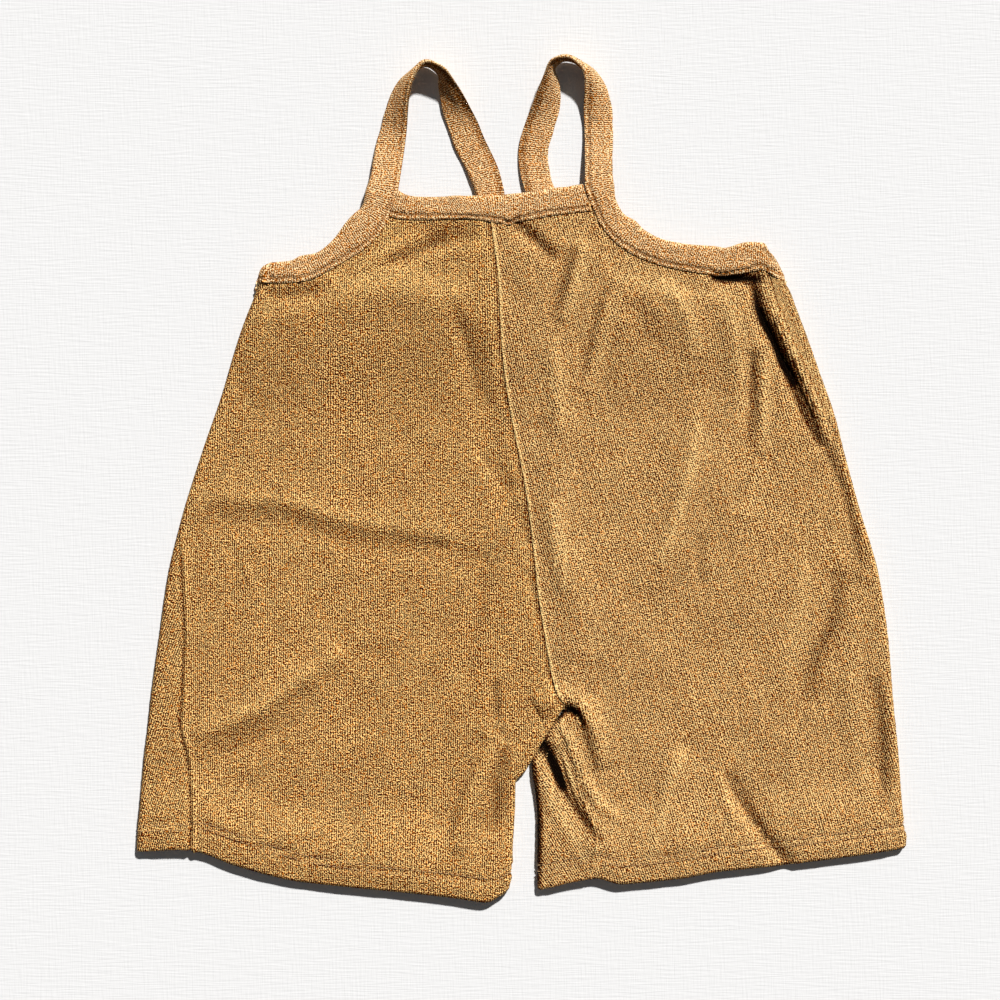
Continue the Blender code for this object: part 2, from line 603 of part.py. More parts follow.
def add_cloth(name, grid, wall, colour, collection):
    """Make a grid of points into a wall of cloth, in metres."""
    rows, columns = len(grid), len(grid[0])
    points = [tuple(float(value) * MM for value in point) for row in grid for point in row]
    faces = [
        (r * columns + c, r * columns + c + 1, (r + 1) * columns + c + 1, (r + 1) * columns + c)
        for r in range(rows - 1)
        for c in range(columns - 1)
    ]
    mesh = bpy.data.meshes.new(name)
    mesh.from_pydata(points, [], faces)
    mesh.materials.append(cloth_material(name + "_cloth", colour))
    mesh.shade_smooth()
    piece = bpy.data.objects.new(name, mesh)
    collection.objects.link(piece)
    solid = piece.modifiers.new("wall", "SOLIDIFY")
    solid.thickness = wall * MM
    solid.offset = 0.0
    return piece


def main():
    """Build the romper."""
    for old in list(bpy.data.objects):
        bpy.data.objects.remove(old)
    romper = bpy.data.collections.new("baby_romper")
    bpy.context.scene.collection.children.link(romper)
    panels = (
        ("front_left", LEFT, 1, (0, 3, 15, 4, 1)),
        ("front_right", RIGHT, 1, (0, 4, 15, 2, 0)),
        ("back_left", LEFT, -1, (2, 4, 7, 2, 0)),
        ("back_right", RIGHT, -1, (1, 5, 7, 4, 3)),
    )
    for name, half, face, counts in panels:
        add_cloth(name, panel_grid(half, face, counts), CLOTH_WALL, CAMEL, romper)
    add_cloth("binding_left", binding_grid(LEFT, FRONT_BINDING_LEFT, STRAP_LEFT, BACK_BINDING_LEFT),
              BAND_WALL, CAMEL_BAND, romper)
    add_cloth("binding_right", binding_grid(RIGHT, FRONT_BINDING_RIGHT, STRAP_RIGHT, BACK_BINDING_RIGHT),
              BAND_WALL, CAMEL_BAND, romper)
    add_cloth("neck_band_front", neck_grid(1, NECK_FRONT), BAND_WALL, CAMEL_BAND, romper)
    add_cloth("neck_band_back", neck_grid(-1, NECK_BACK), BAND_WALL, CAMEL_BAND, romper)


main()
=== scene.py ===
"""Looks of a baby romper in ribbed terry, laid flat face up on a pale surface.

Sizes are in millimetres in the part's own frame: +X to the viewer's right, +Y towards the straps,
+Z up from the table. They turn into metres where a mesh is made.

The garment is two flattened tubes, a left and a right half. A place on a half is given by a level
(0 hem, 1 crotch, 2 waist, 3 armhole and neck cut) and by the distance along the cloth from the
half's outer edge. Each panel is a fine shell over its plain solid, with real ribs, seams and folds.
"""

from __future__ import annotations

import logging
import math
from dataclasses import dataclass
from enum import Enum
from typing import NamedTuple, Sequence

import bpy
import numpy as np
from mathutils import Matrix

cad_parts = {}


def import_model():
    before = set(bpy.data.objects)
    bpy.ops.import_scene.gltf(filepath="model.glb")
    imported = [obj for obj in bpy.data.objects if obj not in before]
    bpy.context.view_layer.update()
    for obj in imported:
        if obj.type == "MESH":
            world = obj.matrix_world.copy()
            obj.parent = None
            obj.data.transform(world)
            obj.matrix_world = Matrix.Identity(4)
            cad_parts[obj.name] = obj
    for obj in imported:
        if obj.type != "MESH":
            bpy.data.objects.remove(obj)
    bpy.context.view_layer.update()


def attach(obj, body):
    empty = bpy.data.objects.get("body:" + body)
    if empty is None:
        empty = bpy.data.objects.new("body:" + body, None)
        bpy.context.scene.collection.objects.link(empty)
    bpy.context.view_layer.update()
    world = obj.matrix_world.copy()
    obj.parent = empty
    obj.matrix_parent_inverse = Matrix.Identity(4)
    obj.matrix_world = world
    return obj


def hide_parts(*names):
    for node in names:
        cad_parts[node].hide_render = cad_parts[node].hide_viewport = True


LOG = logging.getLogger("romper")
Array = np.ndarray
Rows = Sequence[Sequence[float]]
Colour = tuple[float, float, float]
Material = bpy.types.Material
Piece = bpy.types.Object
Socket = bpy.types.NodeSocket
Value = float | Sequence[float] | Socket
Inputs = dict[str | int, Value]

MM = 0.001
NEARLY_NOTHING = 1e-12
TINY = 1e-9
LEAST_RADIUS = 1e-6
STIR = (12.9898, 78.233, 37.719)
STIR_SIZE = 43758.5453

# What the meshes hand to the finishes: flat places, in units of 100 mm, and painted light and shade, lighter
# where the cloth faces the light and on the crests of creases.
UV_MAP = "cloth"
UV_UNIT = 100.0
PAINTED_LIGHT = "painted_light"
PAINTED_LIGHT_FROM = np.array((0.40, 0.88, 0.0))
PAINTED_LIGHT_SLOPE = 0.4
PAINTED_LIGHT_RISE = 0.06

# Cloth.
CLOTH_WALL = 1.6
BAND_WALL = 1.2
SEAM_GAP = 0.3
TIGHT_GAP = 0.1
LAYER_STEP = CLOTH_WALL + SEAM_GAP
HEM_DEPTH = 15.0
BAND_DEPTH = 16.5
STRAP_LEAF = (BAND_WALL + SEAM_GAP) / 2.0
BOUND_GAP = 0.45
BOUND_LEAF = (BAND_WALL + CLOTH_WALL) / 2.0 + BOUND_GAP
RIB_PITCH = 1.2
SAMPLES_PER_RIB = 3

# Heights of the middle of the cloth above the table.
TABLE_CLEARANCE = 0.05
BACK_REST = CLOTH_WALL / 2.0
BACK_BOUND = BAND_WALL + BOUND_GAP + CLOTH_WALL / 2.0
FRONT_REST = BACK_REST + LAYER_STEP + TABLE_CLEARANCE
EDGE_RISE = 2.05
HEM_RISE = 3.75
RISE_POWER = 4
BIB_RISE = BACK_BOUND + 2.0 * (BOUND_LEAF + TABLE_CLEARANCE) + BAND_WALL + SEAM_GAP - FRONT_REST
SLACK = 1.3
SLACK_ROUNDING = 0.6
WRINKLE_ROOM = 2.8
WRINKLE_ROUNDING = 0.4

# Heights up the garment of the waist, and of the crotch at the outer and at the inner edge.
WAIST = 60.0
CROTCH_OUTER = -104.0
CROTCH_INNER = -124.0

# Where soft changes of height start and end.
EDGE_FADE = (4.0, 14.0)
LEG_FADE = (4.0, 12.0)
HEM_FADE = (HEM_DEPTH + 2.0, 3.2 * HEM_DEPTH)
BIB_FADE = (30.0, 97.0)
LEG_START = (CROTCH_INNER, CROTCH_INNER + 12.0)
FREE_FROM_EDGE = (4.0, 12.0)
FREE_FROM_LEG = (3.0, 9.0)
FREE_FROM_BAND = (BAND_DEPTH + 2.0, BAND_DEPTH + 12.0)
BACK_BAND_FADE = (BAND_DEPTH + 3.0, BAND_DEPTH + 16.0)
FOLD_REACH = 3.0
SLOPE_STEP = 0.5
BEND_SAMPLE = 3.0
BEND = math.pi / 2.0
CROTCH_EASE = 0.6
CROTCH_EASE_LEVELS = (1.0, 1.15)
BACK_CROWDING = 0.5
UNDERARM_STATIONS = (0.4, 1.6, 2.9, 4.3)
STRAP_OPENING_ROWS = 5.0
CURVE_PARTS = 2

# The hem's part of a panel, and where its fold turns.
HEM_PART = 0.5
FOLD_START = 0.1
FOLD_KNIT = 0.4
# Least painted light on the hem's fold, which faces away from the light.
FOLD_TONE = 0.85

# How a seam's look comes in: with the side seam's inset, and from the inseam up to the centre seam.
SIDE_FADE = (1.0, 7.0)
INSEAM_SHARE = 0.35
INSEAM_FADE = (0.9, 1.1)

# Outer edge seen from above: y, x of the edge, inset of the side seam from it on the front.
LEFT_EDGE = (
    (-232, -213.0, 29), (-204, -211.5, 29), (-184, -210.1, 28), (-152, -207.4, 23), (-134, -205.2, 17),
    (-118, -203.5, 16), (-86, -199.1, 13), (-52, -194.2, 7), (-20, -186.5, 0), (14, -176.0, 0),
    (46, -165.0, 0), (80, -154.6, 0), (108, -143.6, 0), (118, -140.0, 0),
)
RIGHT_EDGE = (
    (-232, 213.5, -10), (-202, 211.6, -10), (-184, 209.0, -9), (-152, 206.8, -7), (-118, 203.5, -5),
    (-86, 200.8, -4), (-52, 195.8, -3), (-20, 186.5, -2), (14, 177.1, 0), (34, 172.0, 4),
    (62, 162.2, 7), (80, 155.7, 10), (96, 149.5, 12), (104, 146.4, 11), (111, 141.6, 10), (120, 137.4, 9),
)

# Inner edge of each leg: y, x of the edge, and how far past it the front panel reaches.
LEFT_LEG_EDGE = (
    (-232, -6.5, 13), (-202, -5.0, 13), (-183, -3.8, 13), (-166, -3.4, 13), (-161, 1.4, 12.5),
    (-154, 5.6, 11.5), (-144, 11.6, 9), (-135, 16.9, 5.5), (-124, 24.2, 0),
)
RIGHT_LEG_EDGE = (
    (-232, 8.3, -29), (-218, 8.3, -30), (-202, 8.3, -33), (-187, 8.3, -28), (-172, 7.2, -24),
    (-162, 5.6, -25), (-154, 5.2, -22), (-144, 11.1, -13), (-135, 16.4, -5), (-124, 24.1, 0),
)

# Hem edge: share of the way across the leg, rise above a straight line.
LEFT_HEM = ((0, 0), (0.14, 3.5), (0.27, -3), (0.45, -8.5), (0.65, -9), (0.85, -9.5), (0.93, -10.5), (1, -3))
RIGHT_HEM = ((0, 0), (0.17, -1), (0.35, -1.5), (0.5, -1), (0.62, -2.5), (0.77, -2), (0.85, 3), (1, 0))

# Centre seams: y, x.
CENTRE_FRONT = (
    (-124, 23.7), (-116, 18.2), (-94, 13.8), (-73, 10.5), (-52, 7.7), (-26, 5.0), (0, 1.0),
    (30, -5.0), (49, -8.3), (78, -11.5), (111, -13.2), (142, -17.1), (156, -18.0),
)
CENTRE_BACK = ((-124, 23.7), (-112, 17.5), (-60, 11.5), (0, 5.5), (60, 0.5), (110, -2.4), (152, -3.3))

# Cut edges inside the bindings, from the underarm to the middle: x, y.
CUT_FRONT_LEFT = (
    (-142, 113.4), (-137, 115.2), (-126, 116.6), (-118, 119.4), (-110, 121.6), (-101.2, 128),
    (-93, 138.5), (-85, 147.5), (-82.6, 153), (-60, 151.6), (-49, 151.2), (-37, 151.6), (-17.9, 152.3),
)
CUT_FRONT_RIGHT = (
    (140.4, 115.2), (136.6, 116.4), (132.6, 119.8), (129.6, 124.6), (122, 125.4), (111, 123.4), (103, 124.4),
    (88.4, 125.6), (76, 127.8), (65.4, 133), (59.2, 138.6), (51.6, 145), (47.4, 154.5), (46.4, 158.3),
    (32, 157.6), (17.6, 155.8), (4, 154.1), (-17.9, 152.3),
)
CUT_BACK_LEFT = (
    (-142, 113.4), (-138, 111.2), (-105, 111.8), (-72, 114.2), (-53, 117.2), (-37.8, 122.2), (-28.4, 130.2),
    (-23.8, 140), (-22.4, 149.4), (-3.3, 149.4),
)
CUT_BACK_RIGHT = (
    (140.4, 115.2), (135, 112.8), (103, 112.8), (69.6, 114.2), (49.2, 116.6), (32, 119.6), (21, 128.4),
    (18, 140), (16.2, 149.4), (-3.3, 149.4),
)

# Bindings. Underarm to bib: fold edge x, y, stitched edge x, y.
FRONT_BINDING_LEFT = (
    (-140.6, 116.6, -143.2, 107.8), (-137, 118.8, -139.5, 107.6), (-126.5, 119.8, -128, 107.6),
    (-121, 122.4, -116, 109.2), (-111.6, 124.6, -106.2, 113.6), (-104, 130.6, -96.2, 119.6),
    (-96.2, 141.1, -86.4, 125.7), (-91, 146.2, -77.6, 134.5), (-87.5, 150, -73.7, 141.2),
    (-85.8, 157.5, -69, 152.2),
)
FRONT_BINDING_RIGHT = (
    (138.9, 119.0, 142.2, 108.4), (131.5, 129.4, 131.0, 114.6), (121.6, 129.6, 120.4, 113.3),
    (111, 126.8, 106.8, 112), (103.4, 127.8, 97.9, 112.6), (89.1, 129, 82.5, 115.3),
    (77.6, 131.2, 71, 118.5), (67.6, 136.2, 60.5, 122.9), (61.6, 141.6, 50.8, 129.6),
    (55, 146, 43, 138.9), (51.2, 153.8, 39.2, 147.2), (50.6, 160, 35.2, 156.5),
)
BACK_BINDING_LEFT = (
    (-141, 116, -143.9, 104), (-135.9, 114, -135.9, 97.6), (-105.6, 115, -105.6, 99),
    (-72.6, 117.5, -72.6, 101),
    (-53.4, 120.6, -47.9, 105), (-39.6, 125.8, -28, 112.5), (-30.8, 132.6, -16.5, 122),
    (-26.6, 141.5, -10.6, 136), (-25.3, 150, -9.2, 149.5),
)
BACK_BINDING_RIGHT = (
    (139.2, 119.0, 142.8, 107.6), (132, 116.4, 132, 100), (103, 116, 103, 99.6), (69, 117.6, 66, 101.4),
    (48.6, 121, 42, 105.6), (34, 125.4, 22, 112.5), (24.4, 132.6, 9.6, 122),
    (21, 141.5, 3.6, 136), (19, 150, 2.4, 149.5),
)

# Straps, from the bib over the top to the back: fold edge x, y, z, stitched edge x, y, z.
STRAP_LEFT = (
    (-83.6, 164, 6.2, -67.2, 163, 6.6), (-82, 173, 4.0, -65.8, 172.6, 4.6),
    (-80.6, 182, 2.3, -64.5, 181.6, 3.4),
    (-78, 192.4, 1.5, -63.2, 192, 4.4), (-74.8, 203, 1.6, -62.4, 202, 9.5),
    (-71.2, 212, 1.8, -61.2, 210.6, 14),
    (-65, 220.4, 1.8, -58.6, 218.6, 17.0), (-54, 227.6, 1.8, -52.6, 226.2, 18.2),
    (-45.6, 222.4, 1.8, -43.4, 223.4, 17.6), (-45.4, 215, 1.6, -38.4, 218.4, 15.4),
    (-44.6, 207.4, 1.6, -32.8, 210.8, 11.0), (-43.2, 199.6, 1.4, -27.8, 202.6, 5.0),
    (-40, 190.6, 1.4, -24.2, 196, 2.4), (-36.4, 180.8, 1.4, -20.6, 187.2, 1.5),
    (-32.4, 172.8, 1.4, -16.8, 179.4, 1.4), (-28.6, 164.4, 1.4, -12.8, 170, 1.4),
    (-26.2, 158, 1.8, -10.2, 160, 1.8),
)
STRAP_RIGHT = (
    (49.8, 168.6, 6.0, 34.4, 166.6, 6.6), (49.8, 178, 4.0, 34.4, 177.6, 4.6), (50, 187, 2.4, 34.4, 187, 3.2),
    (50, 196, 1.6, 34.2, 196, 3.0), (49.4, 204.6, 1.5, 33.8, 204.2, 5.0),
    (47.2, 212.4, 1.6, 34.2, 212.4, 9.6),
    (43.4, 219.6, 1.8, 34.0, 219.2, 14), (36.6, 226.4, 1.8, 31.4, 224.6, 17.0),
    (24.4, 230.4, 1.8, 24.2, 229, 18.2), (17.4, 225.6, 1.8, 16.2, 227.4, 17.6),
    (19.8, 217.6, 1.6, 12.4, 220.8, 15.4), (21.2, 209.6, 1.6, 9.0, 213.4, 11.0),
    (20.4, 201.4, 1.4, 5.4, 204.6, 5.4), (18.0, 193, 1.4, 2.2, 196.6, 2.2),
    (15.2, 183.4, 1.4, -1.2, 185.4, 1.4), (14.6, 174.6, 1.4, -1.8, 175, 1.4),
    (16.4, 165, 1.4, -0.2, 165.2, 1.4), (18.6, 157.4, 1.8, 2.0, 157.6, 1.8),
)

# Neck bands: fold edge x, y, stitched edge x, y.
NECK_FRONT = (
    (-68.6, 158.4, -73.4, 143.8), (-61, 155.2, -63, 141.9), (-49, 154.6, -47, 142), (-37, 155, -27, 142),
    (-12, 155.6, -11.6, 140), (4, 157.6, 4, 142), (17.6, 159.4, 19.4, 144.6), (33.0, 161.4, 37.4, 146.8),
)
NECK_BACK = ((-8.6, 152.4, -8.6, 136.6), (-3.3, 152.4, -3.3, 136.6), (1.8, 152.4, 1.8, 136.6))


class Face(Enum):
    """Which face of the laid garment a panel belongs to."""

    FRONT = 1
    BACK = -1


class Side(Enum):
    """Which half of the garment, as the viewer sees it; the value points from the edge inwards."""

    LEFT = 1
    RIGHT = -1


class Sum(Enum):
    """A sum that a finish works out."""

    PLUS = "ADD"
    MINUS = "SUBTRACT"
    TIMES = "MULTIPLY"
    TIMES_PLUS = "MULTIPLY_ADD"
    COSINE = "COSINE"
    LEAST = "MINIMUM"
    MOST = "MAXIMUM"


# Upper row of hem stitches: share of the way across the leg, height above the hem edge.
HEM_STITCHES = {
    Side.LEFT: ((0, 14.5), (0.13, 14.5), (0.21, 17.8), (0.35, 17.2), (0.5, 14.6), (0.7, 13.4), (1, 13.4)),
    Side.RIGHT: ((0, 13.6), (0.5, 13.8), (1, 13.6)),
}
# Darkness of the painted shade along each row of hem stitches, and how deep the stitches sit in the cloth.
HEM_ROW_DARK = {Side.LEFT: 0.4, Side.RIGHT: 0.2}
STITCH_DEPTH = {Face.FRONT: 0.35, Face.BACK: 0.2}


def smooth_step(value: Array | float, start: float, end: float) -> Array:
    """Rise softly from 0 at the start to 1 at the end.

    Args:
        value: Places to read.
        start: Where the rise starts.
        end: Where the rise ends.

    Returns:
        The share risen at each place.
    """
    share = np.clip((value - start) / (end - start), 0.0, 1.0)
    return share * share * (3.0 - 2.0 * share)


def mix(first: Array | float, second: Array | float, share: Array | float) -> Array:
    """Go from first to second by a share."""
    return first + (second - first) * share


def bell(value: Array, place: float, width: float) -> Array:
    """Soft bump of height 1 round a place."""
    return np.exp(-(((value - place) / width) ** 2))


def painted_light_tone(normal: Array) -> Array:
    """Painted light and shade: lighter where the cloth leans to the light, darker where it leans away."""
    return 1.0 + PAINTED_LIGHT_SLOPE * normal @ PAINTED_LIGHT_FROM


def unit(vectors: Array) -> Array:
    """Vectors along the last axis, brought to length 1."""
    return vectors / np.maximum(np.linalg.norm(vectors, axis=-1, keepdims=True), NEARLY_NOTHING)


def distances(points: Array) -> Array:
    """Distance of each point of a line from its first, along the line."""
    return np.concatenate(([0.0], np.cumsum(np.linalg.norm(np.diff(points, axis=0), axis=1))))


def line_distance(line: Rows, x: Array, y: Array) -> tuple[Array, Array]:
    """Distance to a line of points.

    Args:
        line: Points of the line, x and y first.
        x: Places across.
        y: Places up the garment.

    Returns:
        The distance, and the share of the line's length at the nearest place.
    """
    points = np.array([row[:2] for row in line], float)
    lengths = np.linalg.norm(np.diff(points, axis=0), axis=1)
    x, y = np.broadcast_arrays(x, y)
    nearest = np.full(x.shape, np.inf)
    along = np.zeros(x.shape)
    passed = 0.0
    for (ax, ay), (bx, by), length in zip(points[:-1], points[1:], lengths):
        share = np.clip(((x - ax) * (bx - ax) + (y - ay) * (by - ay)) / length**2, 0.0, 1.0)
        away = np.hypot(x - mix(ax, bx, share), y - mix(ay, by, share))
        closer = away < nearest
        nearest = np.where(closer, away, nearest)
        along = np.where(closer, passed + share * length, along)
        passed += length
    return nearest, along / passed


def cubic(values: Array, slopes: Array, i: Array, t: Array, step: Array) -> Array:
    """Read the cubic curve between values i and i + 1.

    Args:
        values: Values at the places.
        slopes: Slopes there.
        i: Number of the value before each place to read.
        t: Share of the way to the next one.
        step: Distance to the next one.

    Returns:
        The curve at each place.
    """
    return (
        (2 * t**3 - 3 * t**2 + 1) * values[i] + (t**3 - 2 * t**2 + t) * step * slopes[i]
        + (3 * t**2 - 2 * t**3) * values[i + 1] + (t**3 - t**2) * step * slopes[i + 1]
    )


def smooth_through(points: Array, places: Array, fine: Array) -> Array:
    """Read a smooth curve through points.

    Args:
        points: Points, one for each place.
        places: Rising places of the points.
        fine: Places to read.

    Returns:
        The curve at each fine place.
    """
    slopes = np.gradient(points, places, axis=0)
    i = np.clip(np.searchsorted(places, fine, side="right") - 1, 0, len(places) - 2)
    step = places[i + 1] - places[i]
    t = (fine - places[i]) / step
    shape = (-1,) + (1,) * (points.ndim - 1)
    return cubic(points, slopes, i, t.reshape(shape), step.reshape(shape))


class Profile:
    """A smooth curve through a table's rows that never overshoots them."""

    def __init__(self, rows: Rows, column: int = 1) -> None:
        """Prepare the curve.

        Args:
            rows: The table; its first column is the place.
            column: The column to read.
        """
        table = np.array(sorted((row[0], row[column]) for row in rows), float)
        self.places, self.values = table[:, 0], table[:, 1]
        rates = np.diff(self.values) / np.diff(self.places)
        self.slopes = np.concatenate((rates[:1], np.zeros(len(rates) - 1), rates[-1:]))
        together = rates[:-1] * rates[1:] > 0.0
        total = np.where(together, rates[:-1] + rates[1:], 1.0)
        self.slopes[1:-1] = np.where(together, 2.0 * rates[:-1] * rates[1:] / total, 0.0)

    def __call__(self, place: Array | float) -> Array:
        """Read the curve, held level past its ends.

        Args:
            place: Places to read.

        Returns:
            The values there.
        """
        place = np.clip(place, self.places[0], self.places[-1])
        i = np.clip(np.searchsorted(self.places, place, side="right") - 1, 0, len(self.places) - 2)
        step = self.places[i + 1] - self.places[i]
        return cubic(self.values, self.slopes, i, (place - self.places[i]) / step, step)


@dataclass(frozen=True)
class Grain:
    """Soft unevenness that is the same each time.

    Attributes:
        seed: Which pattern.
        cell_x: Size of a patch across.
        cell_y: Size of a patch up the garment.
    """

    seed: float
    cell_x: float
    cell_y: float

    def _knot(self, i: Array, j: Array) -> Array:
        """Value from -1 to 1 at a knot of the pattern."""
        turn = np.sin(i * STIR[0] + j * STIR[1] + self.seed * STIR[2]) * STIR_SIZE
        return 2.0 * (turn - np.floor(turn)) - 1.0

    def __call__(self, x: Array, y: Array) -> Array:
        """Read the pattern.

        Args:
            x: Places across.
            y: Places up the garment.

        Returns:
            Values from -1 to 1.
        """
        across, up = x / self.cell_x, y / self.cell_y
        i, j = np.floor(across), np.floor(up)
        s = smooth_step(across - i, 0.0, 1.0)
        t = smooth_step(up - j, 0.0, 1.0)
        low = mix(self._knot(i, j), self._knot(i + 1, j), s)
        high = mix(self._knot(i, j + 1), self._knot(i + 1, j + 1), s)
        return mix(low, high, t)


# Height and pattern of the cloth's soft unevenness, and of the ribs' wander sideways.
BILLOWS = ((0.55, Grain(11.0, 24.0, 30.0)), (0.28, Grain(13.0, 9.0, 12.0)))
RIB_WAVERS = ((1.6, Grain(5.0, 38.0, 46.0)), (0.35, Grain(9.0, 9.0, 17.0)))


def unevenness(layers: Sequence[tuple[float, Grain]], x: Array, y: Array) -> Array:
    """Total at a place of patterns that each have a height of their own."""
    return sum(height * grain(x, y) for height, grain in layers)


@dataclass(frozen=True)
class Crease:
    """A soft ridge (+) or trough (-) along a line.

    Attributes:
        name: What it is.
        height: Rise of its middle.
        width: Half width of its slope.
        line: Points of its middle line.
        shade: Painted light (+) or painted shade (-) along it.
    """

    name: str
    height: float
    width: float
    line: Rows
    shade: float = 0.0

    def share(self, x: Array, y: Array) -> Array:
        """How much of the crease there is at a place, fading out at both ends.

        Args:
            x: Places across.
            y: Places up the garment.

        Returns:
            From 0 away from it to 1 on its middle.
        """
        x, y = np.broadcast_arrays(x, y)
        share = np.zeros(x.shape)
        points = np.array(self.line, float)
        reach = FOLD_REACH * self.width
        low, high = points.min(axis=0) - reach, points.max(axis=0) + reach
        near = (x > low[0]) & (x < high[0]) & (y > low[1]) & (y < high[1])
        away, along = line_distance(self.line, x[near], y[near])
        fade = np.sqrt(np.maximum(4.0 * along * (1.0 - along), 0.0))
        share[near] = fade * np.exp(-((away / self.width) ** 2)) * (away < reach)
        return share


MAIN_CREASES = (
    Crease("belly hollow", -0.5, 8, ((-176, -26), (-137, -22), (-101, -31), (-64, -37), (-25, -43),
        (0, -45))),
    Crease("belly ridge", 0.9, 9, ((-170, -6), (-129, -8), (-95, -15), (-53, -22), (-25, -29))),
    Crease("leg ridge", 1.9, 9, ((-180, -138), (-151, -124), (-112, -102), (-100, -92))),
    Crease("leg hollow", -0.9, 8, ((-176, -152), (-142, -136), (-119, -112))),
    Crease("crotch ridge", 3.0, 8, ((-9, -142), (-24, -170), (-38, -204))),
    Crease("crotch hollow", -2.4, 7, ((-20, -140), (-37, -170), (-47, -196))),
    Crease("seam hollow", -1.8, 8, ((-30, 86), (-22, 44), (-13, 5), (-3, -24))),
    Crease("arch, left limb", 3.6, 7, ((8, -126), (20, -119))),
    Crease("seam ridge", 2.4, 9, ((21, 70), (26, 53), (23, 27), (18, 5), (20, -26), (28, -51), (31, -74),
        (26, -100))),
    Crease("bib hollow", -2.0, 7, ((51, 108), (43, 87), (37, 64), (32, 51))),
    Crease("right belly ridge", 2.2, 10, ((96, 50), (93, 7), (82, -32), (68, -62))),
    Crease("hip hollow", -2.4, 8, ((127, 72), (130, 44), (128, 22), (121, -18))),
    Crease("side hollow", -2.6, 7, ((128, 96), (138, 78), (150, 52), (160, 28))),
    Crease("right leg ridge", 2.2, 9, ((87, -150), (79, -205))),
    Crease("hem hollow", -2.2, 7, ((117, -165), (126, -181), (135, -196), (145, -212))),
    Crease("arch, right limb", 3.4, 7, ((27, -118), (37, -129), (43, -142), (46, -158))),
    Crease("inseam ridge", 2.2, 7, ((34, -164), (37, -184), (41, -206))),
)
